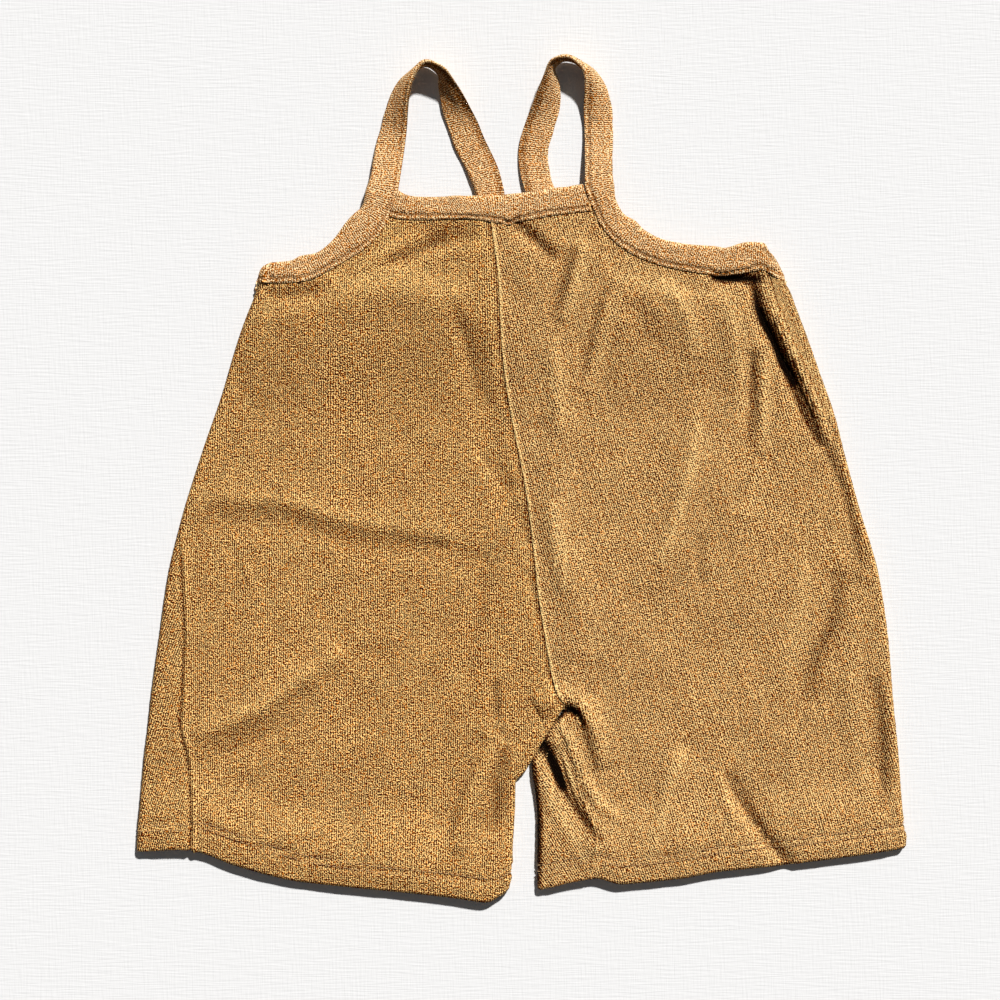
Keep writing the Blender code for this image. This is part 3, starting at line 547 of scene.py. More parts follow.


# Finer creases. Each paints light on its crests and shade in its troughs by its height; a last number adds
# painted light (+) or painted shade (-) along it.
FINE_CREASES = (
    Crease("belly crest", 1.2, 4.2, ((-188, -9), (-165, -10.5), (-140, -11.5), (-122, -14), (-105, -20),
        (-82, -25), (-60, -28), (-42, -30.5), (-24, -35)), 0.07),
    Crease("belly dip", -0.6, 6.0, ((-189, -27), (-165, -24), (-140, -23), (-120, -27), (-100, -34),
        (-70, -40), (-45, -41), (-24, -45))),
    Crease("belly nick", -0.9, 3.0, ((-50, -34), (-45, -37), (-40, -37))),
    Crease("knee crest", 1.6, 4.4, ((-184, -141), (-172, -138), (-158, -132), (-142, -125), (-128, -115),
        (-112, -103), (-98, -94)), 0.08),
    Crease("knee dip", -1.0, 5.5, ((-184, -160), (-168, -152), (-152, -146), (-138, -139), (-126, -131))),
    Crease("thin thigh crest", 0.5, 2.5, ((-158, -30), (-154, -42), (-150, -52), (-145, -62), (-142, -76))),
    Crease("long dip left of seam", -0.9, 4.0, ((-19, -38), (-20, -58), (-23, -76), (-27, -98), (-29, -112),
        (-28, -130))),
    Crease("short dip left of seam", -1.5, 3.0, ((-15, -110), (-15, -120), (-14, -134))),
    Crease("inner leg dip", -1.9, 5.0, ((-10, -136), (-12, -150), (-13, -165), (-14, -180),
        (-17, -196)), -0.08),
    Crease("inner leg crest", 1.2, 3.5, ((-6, -136), (-16, -149), (-25, -165), (-33, -185), (-37, -204))),
    Crease("outer leg dip", -1.3, 3.5, ((-25, -155), (-32, -170), (-37, -185), (-42, -202))),
    Crease("neck streak", 1.4, 3.5, ((-92, 112), (-80, 121), (-66, 129), (-52, 134)), 0.08),
    Crease("neck dip", -1.3, 4.0, ((-78, 116), (-64, 121), (-52, 126), (-40, 131)), -0.08),
    Crease("bib swell", 1.6, 9.0, ((-112, 102), (-92, 104), (-70, 104), (-48, 101), (-28, 103))),
    Crease("small bib crest", 0.6, 2.5, ((-54, 117), (-44, 122), (-34, 128))),
    Crease("dip beside upper seam", -1.3, 4.0, ((-39, 98), (-33, 82), (-29, 66), (-25, 50), (-20, 38))),
    Crease("nick beside mid seam", -1.6, 3.2, ((-22, 18), (-17, 9), (-11, 0), (-4, -8))),
    Crease("nick at mid seam", -1.6, 3.2, ((-3, -14), (0, -24), (3, -38))),
    Crease("dip beside low seam", -0.9, 3.0, ((2, -48), (6, -62), (8, -80))),
    Crease("fold under neck", -2.7, 4.0, ((-7, 142), (2, 135), (10, 128), (18, 119)), -0.22),
    Crease("first bib crest", 2.5, 4.0, ((35, 130), (31, 118), (28, 104), (22, 86)), 0.15),
    Crease("first bib dip", -2.0, 4.0, ((29, 126), (25, 112), (21, 98), (16, 84)), -0.16),
    Crease("second bib crest", 1.4, 4.0, ((53, 110), (48, 96), (44, 82), (40, 66), (36, 48)), 0.12),
    Crease("second bib dip", -1.5, 3.5, ((47, 104), (42, 90), (38, 74), (34, 58), (30, 44)), -0.14),
    Crease("upper seam crest", 2.1, 5.0, ((17, 78), (18, 60), (19, 44), (20, 24)), 0.10),
    Crease("lower seam crest", 2.7, 5.0, ((16, -10), (17, -24), (19, -40), (23, -62)), 0.14),
    Crease("armhole crescent", 1.8, 5.0, ((74, 110), (85, 98), (92, 84), (94, 66)), 0.14),
    Crease("armhole hollow", -1.3, 7.0, ((60, 98), (67, 86), (68, 72))),
    Crease("long thin crest", 1.3, 3.2, ((95, 40), (95, 20), (91, 0), (86, -16), (81, -32),
        (74, -48)), 0.22),
    Crease("hip nick", -1.3, 3.5, ((99, -30), (97, -44), (98, -60))),
    Crease("side crest", 1.5, 5.0, ((106, 104), (112, 92), (116, 78), (119, 60), (120, 40),
        (118, 22)), 0.10),
    Crease("hip crest", 2.7, 4.2, ((131, 76), (132, 56), (132, 38), (130, 14)), 0.16),
    Crease("hip dip", -2.2, 3.4, ((126, 70), (126.5, 52), (127, 36), (126, 16)), -0.22),
    Crease("lower hip crest", 1.1, 3.5, ((132, 10), (127, -4), (122, -22))),
    # Painted shade in the deep pocket beside the right armhole.
    Crease("side pocket", -4.5, 3.0, ((125, 108), (127.5, 102), (128.7, 94), (132, 86), (136, 79),
        (141, 68), (147, 57), (150, 50)), -0.9),
    Crease("side pocket end", -3.0, 3.0, ((141, 68), (147, 57), (152, 45), (158, 31), (164, 17)), -0.45),
    Crease("side roll", 2.6, 3.6, ((133, 106), (135, 95), (141, 83), (147, 70), (153, 58), (158, 46),
        (163, 34), (168, 20))),
    Crease("low side dip", -2.1, 3.6, ((164, 20), (171, 6), (177, -10), (181, -28), (185, -50))),
    Crease("right calf dip", -1.7, 4.5, ((173, -50), (172, -66), (170, -80), (163, -94), (158, -108),
        (155, -124)), -0.14),
    Crease("right calf crest", 1.1, 5.0, ((152, -40), (154, -58), (150, -76), (146, -92),
        (144, -116)), 0.10),
    Crease("side strip crest", 1.3, 5.0, ((184, -58), (183, -84), (180, -110), (182, -136), (186, -170))),
    Crease("right edge dip", -1.9, 3.8, ((193, -108), (196, -126), (197.5, -146), (198, -164),
        (197, -184)), -0.14),
    Crease("right leg crest", 1.5, 3.5, ((87, -146), (83, -160), (79, -174), (73, -194), (70, -212)), 0.12),
    Crease("hem dip", -2.7, 3.6, ((112, -160), (118, -172), (126, -186), (135, -199), (148, -212)), -0.12),
    Crease("hem crest", 1.3, 4.0, ((106, -160), (111, -174), (118, -190))),
    # Painted shade under the right armhole binding.
    Crease("pocket under band", -3.6, 3.0, ((102, 110), (110, 109.5), (120, 109.5), (132, 109)), -0.9),
    # Painted shade under the neck band, painted light on the bib and by the armhole.
    Crease("shade under neck", 0.0, 6.0, ((-72, 134), (-50, 133), (-34, 135), (-18, 137)), -0.16),
    Crease("light on the bib", 0.0, 9.0, ((-112, 104), (-88, 109), (-62, 113), (-36, 106),
        (-20, 104)), 0.12),
    Crease("light by the armhole", 0.0, 8.0, ((56, 118), (70, 110), (84, 100)), 0.10),
    Crease("left pocket under band", -1.7, 4.5, ((-142, 101), (-130, 100), (-116, 102), (-104, 107))),
    Crease("arch crest", 2.0, 4.0, ((12, -112), (22, -117), (32, -124), (39, -136), (42, -150),
        (44, -166))),
)

# Creases of the crotch. The arch hollow, the slot and its end, and the turned flange's edge are darkened by
# painted shade; the wall ribs carry painted highlights and painted shade.
CROTCH_CREASES = (
    Crease("arch hollow", -3.6, 2.3, ((17.5, -131.5), (21, -128), (25.6, -126), (29.4, -128),
        (31.8, -132.5), (33, -137)), -1.15),
    Crease("beside the leaf", -0.5, 2.6, ((33, -136), (35, -144), (38.5, -153), (41, -161)), 0.06),
    Crease("leaf crest", 2.2, 3.0, ((20, -133), (26, -143), (31.4, -156), (37, -170), (45, -180),
        (56, -188))),
    Crease("leaf slot", -4.6, 2.9, ((5.5, -135), (10.6, -143.2), (14.2, -149.5), (17.4, -156), (20.4, -163),
        (23.4, -171)), -1.15),
    Crease("slot end", -2.5, 3.0, ((15, -152), (20, -161), (25, -171), (30.4, -181), (37, -191),
        (43, -200)), -0.5),
    Crease("wall rib", 0.5, 0.9, ((14.6, -141), (17.8, -147), (21, -155), (23.6, -163), (27, -173),
        (31, -182)), 0.75),
    Crease("wall dip", -0.4, 0.8, ((16, -140), (19.3, -147), (22.6, -155), (25, -163), (28.4, -173),
        (32.2, -182)), -0.5),
    Crease("second wall rib", 0.5, 0.9, ((17.4, -139), (20.8, -147), (24.2, -155), (26.6, -163),
        (29.8, -173), (33.4, -182)), 0.7),
    Crease("flange crest", 1.6, 4.0, ((8, -152), (12, -166), (18, -180), (26, -194), (34, -210)), 0.14),
    Crease("turned flange", 0.0, 1.7, ((5, -149), (7.2, -160), (8.6, -172), (9.4, -188), (9.4, -204),
        (9, -224)), -0.85),
)


class Across(NamedTuple):
    """Edges, bends and developed width of a half at its rows' levels.

    A bend is given by its radius and its centre's height; on the inner side only a leg has one. The width
    is the length of the cloth from the outermost to the innermost place.
    """

    y_outer: Array
    y_inner: Array
    outer: Array
    inner: Array
    radius: Array
    centre: Array
    leg_radius: Array
    leg_centre: Array
    width: Array


class Surface(NamedTuple):
    """Middle of the cloth.

    Attributes:
        point: Points.
        normal: Outward normals.
        flat: Flat places, as if the cloth were unrolled.
    """

    point: Array
    normal: Array
    flat: Array


@dataclass(frozen=True)
class Half:
    """One flattened tube of the garment.

    Attributes:
        edge: Outer edge table.
        inseam: Leg inner edge table.
        hem_outer: Height of the hem at the outer edge.
        hem_inner: Height of the hem at the inner edge.
        cut_front: Cut armhole and neck edge of the front.
        cut_back: The same of the back.
        creases: Large ridges and troughs of the front cloth.
        wrinkles: Finer ones on top of them.
    """

    side: Side
    edge: Rows
    inseam: Rows
    hem_outer: float
    hem_inner: float
    hem_shape: Rows
    cut_front: Rows
    cut_back: Rows
    creases: tuple[Crease, ...]
    wrinkles: tuple[Crease, ...]

    def edge_x(self, y: Array | float) -> Array:
        """Middle of the cloth at the outer edge."""
        return Profile(self.edge)(y) + self.side.value * CLOTH_WALL / 2.0

    def leg_x(self, y: Array | float) -> Array:
        """Middle of the cloth at the leg's inner edge."""
        return Profile(self.inseam)(y) - self.side.value * CLOTH_WALL / 2.0

    def hem_y(self, share: Array | float) -> Array:
        """Hem edge at a share of the way from the outer to the inner edge."""
        return mix(self.hem_outer, self.hem_inner, share) + Profile(self.hem_shape)(share)

    def hem_share(self, x: Array) -> Array:
        """Share of the way across the leg at the hem."""
        outer, inner = self.edge_x(self.hem_outer), self.leg_x(self.hem_inner)
        return np.clip((x - outer) / (inner - outer), 0.0, 1.0)

    def above_hem(self, x: Array, y: Array) -> Array:
        """Height of a place above the hem edge."""
        return y - self.hem_y(self.hem_share(x))

    def above_stitches(self, x: Array, y: Array) -> Array:
        """Height of a place above the upper row of hem stitches."""
        return self.above_hem(x, y) - Profile(HEM_STITCHES[self.side])(self.hem_share(x))

    def cut(self, face: Face) -> Rows:
        """Cut edge of one face."""
        return self.cut_front if face is Face.FRONT else self.cut_back

    def relief(self, creases: Sequence[Crease], x: Array, y: Array) -> Array:
        """Height of all creases at a place."""
        return sum(crease.height * crease.share(x, y) for crease in creases)

    def shade(self, x: Array, y: Array) -> Array:
        """Painted light on crests and painted shade in troughs that the finer creases add at a place of the
        front, with each crease's own shade.
        """
        return sum((crease.shade + PAINTED_LIGHT_RISE * crease.height) * crease.share(x, y) for crease in self.wrinkles)

    def front_height(self, x: Array, y: Array) -> Array:
        """Middle of the front cloth above the table.

        Args:
            x: Places across.
            y: Places up the garment.

        Returns:
            The height there, resting on the layers below and lifted by the creases.
        """
        x, y = np.broadcast_arrays(np.asarray(x, float), np.asarray(y, float))
        from_edge = np.abs(x - self.edge_x(y))
        below_crotch = 1.0 - smooth_step(y, *LEG_START)
        from_leg = np.abs(x - self.leg_x(np.minimum(y, CROTCH_INNER)))
        from_cut = line_distance(self.cut_front, x, y)[0]
        rises = (
            EDGE_RISE * (1.0 - smooth_step(from_edge, *EDGE_FADE)),
            EDGE_RISE * (1.0 - smooth_step(from_leg, *LEG_FADE)) * below_crotch,
            HEM_RISE * (1.0 - smooth_step(self.above_hem(x, y), *HEM_FADE)),
            BIB_RISE * smooth_step(y, *BIB_FADE),
        )
        support = FRONT_REST + sum(rise**RISE_POWER for rise in rises) ** (1.0 / RISE_POWER)
        free = smooth_step(from_edge, *FREE_FROM_EDGE) * smooth_step(from_cut, *FREE_FROM_BAND)
        free = free * mix(1.0, smooth_step(from_leg, *FREE_FROM_LEG), below_crotch)
        lift = (SLACK + self.relief(self.creases, x, y)) * free
        smooth = support + (lift + np.hypot(lift, SLACK_ROUNDING)) / 2.0
        room = smooth - np.maximum(FRONT_REST, FRONT_REST + rises[3] - WRINKLE_ROOM)
        billow = unevenness(BILLOWS, x, y) * smooth_step(from_edge, *EDGE_FADE)
        finer = self.relief(self.wrinkles, x, y) + billow
        sunk = room + finer
        return smooth - room + (sunk + np.hypot(sunk, WRINKLE_ROUNDING)) / 2.0

    def back_height(self, x: Array, y: Array) -> Array:
        """Middle of the back cloth above the table."""
        from_cut = line_distance(self.cut_back, x, y)[0]
        return mix(BACK_BOUND, BACK_REST, smooth_step(from_cut, *BACK_BAND_FADE))

    def height(self, face: Face, x: Array, y: Array) -> Array:
        """Height of the cloth on one face."""
        return self.front_height(x, y) if face is Face.FRONT else self.back_height(x, y)

    def flat_point(self, face: Face, x: Array, y: Array) -> tuple[Array, Array]:
        """Cloth away from the bends.

        Args:
            face: Front or back.
            x: Places across.
            y: Places up the garment.

        Returns:
            Points and outward normals.
        """
        z = self.height(face, x, y)
        slope_x = (self.height(face, x + SLOPE_STEP, y) - z) / SLOPE_STEP
        slope_y = (self.height(face, x, y + SLOPE_STEP) - z) / SLOPE_STEP
        normal = np.stack((-slope_x, -slope_y, np.ones_like(z)), -1) * face.value
        return np.stack((x, y, z), -1), unit(normal)

    def edge_round(self, x: Array, y: Array) -> tuple[Array, Array]:
        """Radius and centre height of the bend at an edge."""
        high, low = self.front_height(x, y), self.back_height(x, y)
        return (high - low) / 2.0, (high + low) / 2.0

    def bend_point(
        self, edge: Array, inward: int, radius: Array, centre: Array, face: Face, along: Array, y: Array
    ) -> tuple[Array, Array]:
        """Cloth on a bend.

        Args:
            edge: Outermost place of the bend.
            inward: Direction across, from the edge to the cloth.
            radius: Radius of the bend.
            centre: Height of its centre.
            face: Which face the cloth turns to.
            along: Distance along the cloth from the outermost place.
            y: Places up the garment.

        Returns:
            Points and outward normals.
        """
        angle = along / np.maximum(radius, LEAST_RADIUS)
        x = edge + inward * radius * (1.0 - np.cos(angle))
        z = centre + face.value * radius * np.sin(angle)
        x, y, z, angle = np.broadcast_arrays(x, y, z, angle)
        normal = np.stack((-inward * np.cos(angle), np.zeros_like(angle), face.value * np.sin(angle)), -1)
        return np.stack((x, y, z), -1), normal

    def cut_point(self, face: Face, share: Array | float) -> tuple[Array, Array]:
        """Point on the cut edge, a share of the way from the underarm to the middle.

        Args:
            face: Front or back.
            share: Share of the way.

        Returns:
            Its x and y.
        """
        cut = np.array(self.cut(face), float)
        crowding = 0.0 if face is Face.FRONT else BACK_CROWDING
        passed = distances(cut)
        place = mix(share, share * (2.0 - share), crowding) * passed[-1]
        return np.interp(place, passed, cut[:, 0]), np.interp(place, passed, cut[:, 1])

    def level_y(self, face: Face, level: Array, share: Array | float) -> Array:
        """Height up the garment of a level.

        Args:
            face: Front or back.
            level: Levels.
            share: Share of the way across the half.

        Returns:
            The height at each place.
        """
        crotch = mix(CROTCH_OUTER, CROTCH_INNER, share)
        leg = mix(self.hem_y(share), crotch, level)
        body = mix(crotch, WAIST, level - 1.0)
        bib = mix(WAIST, self.cut_point(face, share)[1], level - 2.0)
        return np.where(level <= 1.0, leg, np.where(level <= 2.0, body, bib))

    def centre_x(self, face: Face, y: Array | float) -> Array:
        """Centre seam of one face."""
        return Profile(CENTRE_FRONT if face is Face.FRONT else CENTRE_BACK)(y)

    def across(self, face: Face, level: Array) -> Across:
        """Edges, bends and developed width of the half.

        Args:
            face: Front or back.
            level: Levels of the rows.

        Returns:
            One value of each for each row.
        """
        inward = self.side.value
        y_outer = self.level_y(face, level, 0.0)
        y_inner = self.level_y(face, level, 1.0)
        outer = self.edge_x(y_outer)
        radius, centre = self.edge_round(outer + inward * BEND_SAMPLE, y_outer)
        leg = self.leg_x(y_inner)
        leg_radius, leg_centre = self.edge_round(leg - inward * BEND_SAMPLE, y_inner)
        on_leg = level <= 1.0
        inner = np.where(on_leg, leg, self.centre_x(face, y_inner))
        leg_radius = np.where(on_leg, leg_radius, 0.0)
        width = np.abs(inner - outer) + (BEND - 1.0) * (radius + leg_radius)
        return Across(y_outer, y_inner, outer, inner, radius, centre, leg_radius, leg_centre, width)

    def bib_x(self, face: Face, level: Array, share: Array, sizes: Across) -> Array:
        """Place across above the waist, between the waist and the cut edge.

        Args:
            face: Front or back.
            level: Levels.
            share: Share of the way across the half.
            sizes: Edges of the half at these levels.

        Returns:
            The place across of each.
        """
        waist = (self.edge_x(WAIST), self.centre_x(face, WAIST))
        top = (self.cut_point(face, 0.0)[0], self.cut_point(face, 1.0)[0])
        rise = level - 2.0
        x = mix(mix(waist[0], waist[1], share), self.cut_point(face, share)[0], rise)
        x = x + (self.edge_x(sizes.y_outer) - mix(waist[0], top[0], rise)) * (1.0 - share)
        return x + (self.centre_x(face, sizes.y_inner) - mix(waist[1], top[1], rise)) * share

    def _spread(self, face: Face, level: Array, along: Array, sizes: Across) -> Surface:
        """Surface of one face between the outer and the inner edge.

        Args:
            face: Front or back.
            level: Levels.
            along: Distances along the cloth from the outer edge.
            sizes: Edges and bends of the half at these levels.

        Returns:
            The surface at each place.
        """
        inward = self.side.value
        eased = (BEND - 1.0) * sizes.radius
        share = np.clip((along - eased) / np.abs(sizes.inner - sizes.outer), 0.0, 1.0)
        y = self.level_y(face, level, share)
        flat_x = sizes.outer + inward * (along - eased)
        x = np.where(level > 2.0, self.bib_x(face, level, share, sizes), flat_x)
        point, normal = self.flat_point(face, x, y)
        on_edge = (along < BEND * sizes.radius)[..., None]
        on_leg = ((level <= 1.0) & (sizes.width - along < BEND * sizes.leg_radius))[..., None]
        edge = self.bend_point(sizes.outer, inward, sizes.radius, sizes.centre, face, along, y)
        leg = self.bend_point(
            sizes.inner, -inward, sizes.leg_radius, sizes.leg_centre, face, sizes.width - along, y
        )
        point = np.where(on_edge, edge[0], np.where(on_leg, leg[0], point))
        normal = np.where(on_edge, edge[1], np.where(on_leg, leg[1], normal))
        flat_x = np.where(on_edge[..., 0], flat_x, x)
        return Surface(point, normal, np.stack((flat_x, y), -1))

    def surface(self, face: Face, level: Array, along: Array) -> Surface:
        """Middle of the cloth, also where it wraps round an edge to the other face.

        Args:
            face: Face that the panel belongs to.
            level: Levels, one for each row, as a column.
            along: Distances along the cloth from the outer edge, a row for each level.

        Returns:
            The surface at each place.
        """
        other = Face.BACK if face is Face.FRONT else Face.FRONT
        sizes = self.across(face, level)
        found = self._spread(face, level, np.clip(along, 0.0, sizes.width), sizes)
        point, normal, flat = (part.copy() for part in found)
        flat[..., 0] += self.side.value * (along - np.clip(along, 0.0, sizes.width))
        wrapped = along < 0.0
        if wrapped.any():
            far = self._spread(other, level, np.abs(along), self.across(other, level))
            point[wrapped], normal[wrapped] = far.point[wrapped], far.normal[wrapped]
        passed = (along > sizes.width) & (level <= 1.0)
        if passed.any():
            far = self._spread(other, level, np.clip(2.0 * sizes.width - along, 0.0, sizes.width), sizes)
            point[passed], normal[passed] = far.point[passed], far.normal[passed]
        return Surface(point, normal, flat)

    def cloth_point(self, face: Face, x: Array, y: Array) -> tuple[Array, Array]:
        """Cloth under places seen from above, wrapping at the outer edge.

        Args:
            face: Front or back.
            x: Places across.
            y: Places up the garment.

        Returns:
            Points and outward normals.
        """
        inward = self.side.value
        outer = self.edge_x(y)
        radius, centre = self.edge_round(outer + inward * BEND_SAMPLE, y)
        along = np.maximum(SEAM_GAP / 2.0, inward * (x - outer) + (BEND - 1.0) * radius)
        bent = self.bend_point(outer, inward, radius, centre, face, along, y)
        flat = self.flat_point(face, x, y)
        on_edge = (along < BEND * radius)[..., None]
        return np.where(on_edge, bent[0], flat[0]), np.where(on_edge, bent[1], flat[1])


LEFT = Half(Side.LEFT, LEFT_EDGE, LEFT_LEG_EDGE, -204.0, -222.5, LEFT_HEM,
            CUT_FRONT_LEFT, CUT_BACK_LEFT, MAIN_CREASES, FINE_CREASES)
RIGHT = Half(Side.RIGHT, RIGHT_EDGE, RIGHT_LEG_EDGE, -202.0, -225.0, RIGHT_HEM,
             CUT_FRONT_RIGHT, CUT_BACK_RIGHT, MAIN_CREASES, FINE_CREASES + CROTCH_CREASES)


@dataclass(frozen=True)
class Knit:
    """How the ribs and loops of the terry stand up.

    Attributes:
        pitch: From rib to rib.
        rib_depth: From a rib's crest to the valley beside it.
        loop_depth: Unevenness of the loops along a rib.
        loop_length: Length of a loop along a rib.
        loop_width: Width of a loop, as a share of the pitch.
        loop_pattern: Which pattern the loops follow.
    """

    pitch: float = RIB_PITCH
    rib_depth: float = 0.17
    loop_depth: float = 0.12
    loop_length: float = 1.9
    loop_width: float = 0.8
    loop_pattern: float = 3.0

    def relief(self, across: Array, along: Array) -> Array:
        """Height of the ribs and loops, never above the cloth's outer face.

        Args:
            across: Places across the ribs.
            along: Places along the ribs.

        Returns:
            Heights from about minus the two depths to 0.
        """
        rib = 0.5 - 0.5 * np.cos(2.0 * math.pi * across / self.pitch)
        grain = Grain(self.loop_pattern, self.pitch * self.loop_width, self.loop_length)
        loops = 0.5 - 0.5 * grain(across, along)
        return -self.rib_depth * rib - self.loop_depth * loops


KNIT = Knit()


class Shell:
    """Vertices and faces of one closed cloth shell, gathered bit by bit."""

    def __init__(self) -> None:
        """Start empty."""
        self.points: list[Array] = []
        self.flats: list[Array] = []
        self.tones: list[Array] = []
        self.quads: list[Array] = []
        self.triangles: list[Array] = []
        self.count = 0

    def add_points(self, points: Array, flats: Array, tones: Array | float = 1.0) -> Array:
        """Add vertices.

        Args:
            points: Their places, in millimetres.
            flats: Their places across and along the ribs.
            tones: Painted light and shade there.

        Returns:
            Their numbers, in the points' own layout.
        """
        numbers = self.count + np.arange(points[..., 0].size).reshape(points.shape[:-1])
        self.points.append(points.reshape(-1, 3))
        self.flats.append(flats.reshape(-1, 2))
        self.tones.append(np.broadcast_to(tones, numbers.shape).ravel())
        self.count += numbers.size
        return numbers

    def add_grid(self, numbers: Array, flip: bool) -> None:
        """Add the faces of a grid in which neighbours may be one and the same vertex.

        Args:
            numbers: Vertex numbers, row by row.
            flip: Turn the faces over.
        """
        corners = (numbers[:-1, :-1], numbers[:-1, 1:], numbers[1:, 1:], numbers[1:, :-1])
        quads = np.stack([corner.ravel() for corner in corners], -1)
        if flip:
            quads = quads[:, ::-1]
        same = quads == np.roll(quads, -1, axis=1)
        self.quads.append(quads[same.sum(1) == 0])
        single = same.sum(1) == 1
        kept = quads[single]
        drop = np.argmax(same[single], axis=1)
        order = (drop[:, None] + np.array((1, 2, 3))) % 4
        self.triangles.append(np.take_along_axis(kept, order, axis=1))

    def zip_edges(self, first: Array, second: Array, flip: bool) -> None:
        """Join two open edges of unlike counts by a strip of triangles.

        Args:
            first: Vertex numbers along one edge.
            second: Vertex numbers along the other.
            flip: Turn the faces over.
        """
        first = first[np.concatenate(([True], first[1:] != first[:-1]))]
        places = np.concatenate([part.reshape(-1, 3) for part in self.points])
        shares = []
        for edge in (first, second):
            passed = distances(places[edge])
            shares.append(passed / max(passed[-1], TINY))
        i = j = 0
        found = []
        while i < len(first) - 1 or j < len(second) - 1:
            go_first = j == len(second) - 1 or (i < len(first) - 1 and shares[0][i + 1] <= shares[1][j + 1])
            if go_first:
                found.append((first[i], first[i + 1], second[j]))
                i += 1
            else:
                found.append((first[i], second[j + 1], second[j]))
                j += 1
        faces = np.array(found)
        self.triangles.append(faces[:, ::-1] if flip else faces)

    def close(self, outer: Array, inner: Array, flip: bool) -> None:
        """Face the outer and the inner skin of a cloth wall, and join their four edges.

        Args:
            outer: Vertex numbers of the outer skin, row by row.
            inner: Vertex numbers of the inner skin, row by row.
            flip: Turn the outer skin's faces over.
        """
        self.add_grid(outer, flip)
        self.add_grid(inner, not flip)
        self.zip_edges(outer[0], inner[0], flip)
        self.zip_edges(outer[-1], inner[-1], not flip)
        self.zip_edges(outer[:, 0], inner[:, 0], not flip)
        self.zip_edges(outer[:, -1], inner[:, -1], flip)

    def to_object(self, name: str, material: Material) -> Piece:
        """Make the mesh and its object.

        Args:
            name: Name of the piece.
            material: Its finish.

        Returns:
            The new object, in metres.
        """
        points = np.concatenate(self.points) * MM
        flats = np.concatenate(self.flats) / UV_UNIT
        faces = [part for part in self.quads + self.triangles if len(part)]
        sizes = np.concatenate([np.full(len(part), part.shape[1]) for part in faces])
        corners = np.concatenate([part.ravel() for part in faces])
        LOG.info("%s has %d triangles", name, int(np.sum(sizes - 2)))
        mesh = bpy.data.meshes.new(name)
        mesh.vertices.add(len(points))
        mesh.vertices.foreach_set("co", points.astype(np.float32).ravel())
        mesh.loops.add(len(corners))
        mesh.loops.foreach_set("vertex_index", corners.astype(np.int32))
        mesh.polygons.add(len(sizes))
        starts = np.concatenate(([0], np.cumsum(sizes)[:-1]))
        mesh.polygons.foreach_set("loop_start", starts.astype(np.int32))
        tone = mesh.attributes.new(PAINTED_LIGHT, "FLOAT", "POINT")
        tone.data.foreach_set("value", np.concatenate(self.tones).astype(np.float32))
        mesh.update(calc_edges=True)
        mesh.validate()
        layer = mesh.uv_layers.new(name=UV_MAP)
        ids = np.zeros(len(mesh.loops), np.int32)
        mesh.loops.foreach_get("vertex_index", ids)
        layer.uv.foreach_set("vector", flats[ids].astype(np.float32).ravel())
        mesh.shade_smooth()
        mesh.materials.append(material)
        piece = bpy.data.objects.new(name, mesh)
        bpy.context.scene.collection.objects.link(piece)
        return piece


class Wiring:
    """Short hand for a material's nodes."""

    def __init__(self, name: str) -> None:
        """Make a material with a plain surface shader.

        Args:
            name: Name of the material.
        """
        self.material = bpy.data.materials.new(name)
        self.material.use_nodes = True
        self.tree = self.material.node_tree
        self.shader = self.tree.nodes["Principled BSDF"]

    def fill(self, node: bpy.types.Node, values: Inputs) -> None:
        """Give a node's inputs their values.

        Args:
            node: The node.
            values: A number, a colour or a socket for each input.
        """
        for name, value in values.items():
            if isinstance(value, Socket):
                self.tree.links.new(value, node.inputs[name])
            else:
                node.inputs[name].default_value = value

    def add(self, kind: str, values: Inputs, **settings: object) -> Socket:
        """Add a node.

        Args:
            kind: Type of the node.
            values: A number, a colour or a socket for each input.
            settings: The node's own fields.

        Returns:
            Socket of its first output.
        """
        node = self.tree.nodes.new(kind)
        for name, value in settings.items():
            setattr(node, name, value)
        self.fill(node, values)
        return node.outputs[0]

    def sum(self, kind: Sum, *values: Value) -> Socket:
        """Work out numbers."""
        return self.add("ShaderNodeMath", dict(enumerate(values)), operation=kind.value)

    def swing(self, value: Value, middle: float, share: float, onto: Value) -> Socket:
        """Add a share of how far a value is from its middle."""
        return self.sum(Sum.TIMES_PLUS, self.sum(Sum.MINUS, value, middle), share, onto)

    def spot(self, across: Value, along: Value) -> Socket:
        """Make a place from its distances across and along the ribs."""
        return self.add("ShaderNodeCombineXYZ", {0: across, 1: along})

    def noise(self, place: Socket, scale: float, detail: float = 2.0) -> Socket:
        """Make soft unevenness from 0 to 1, with finer patterns on top of it."""
        return self.add("ShaderNodeTexNoise", {"Vector": place, "Scale": scale, "Detail": detail})

    def settle(self, height: Socket, distance: float, **values: Value) -> Material:
        """Finish the shader.

        Args:
            height: Socket of its relief, about 0 to 1.
            distance: What a height of 1 stands for, in millimetres.
            values: Its other inputs; an underscore stands for a space in a name.

        Returns:
            The finished material.
        """
        relief = {"Strength": 1.0, "Distance": distance * MM, "Height": height}
        self.fill(self.shader, {name.replace("_", " "): value for name, value in values.items()})
        self.fill(self.shader, {"Normal": self.add("ShaderNodeBump", relief)})
        return self.material


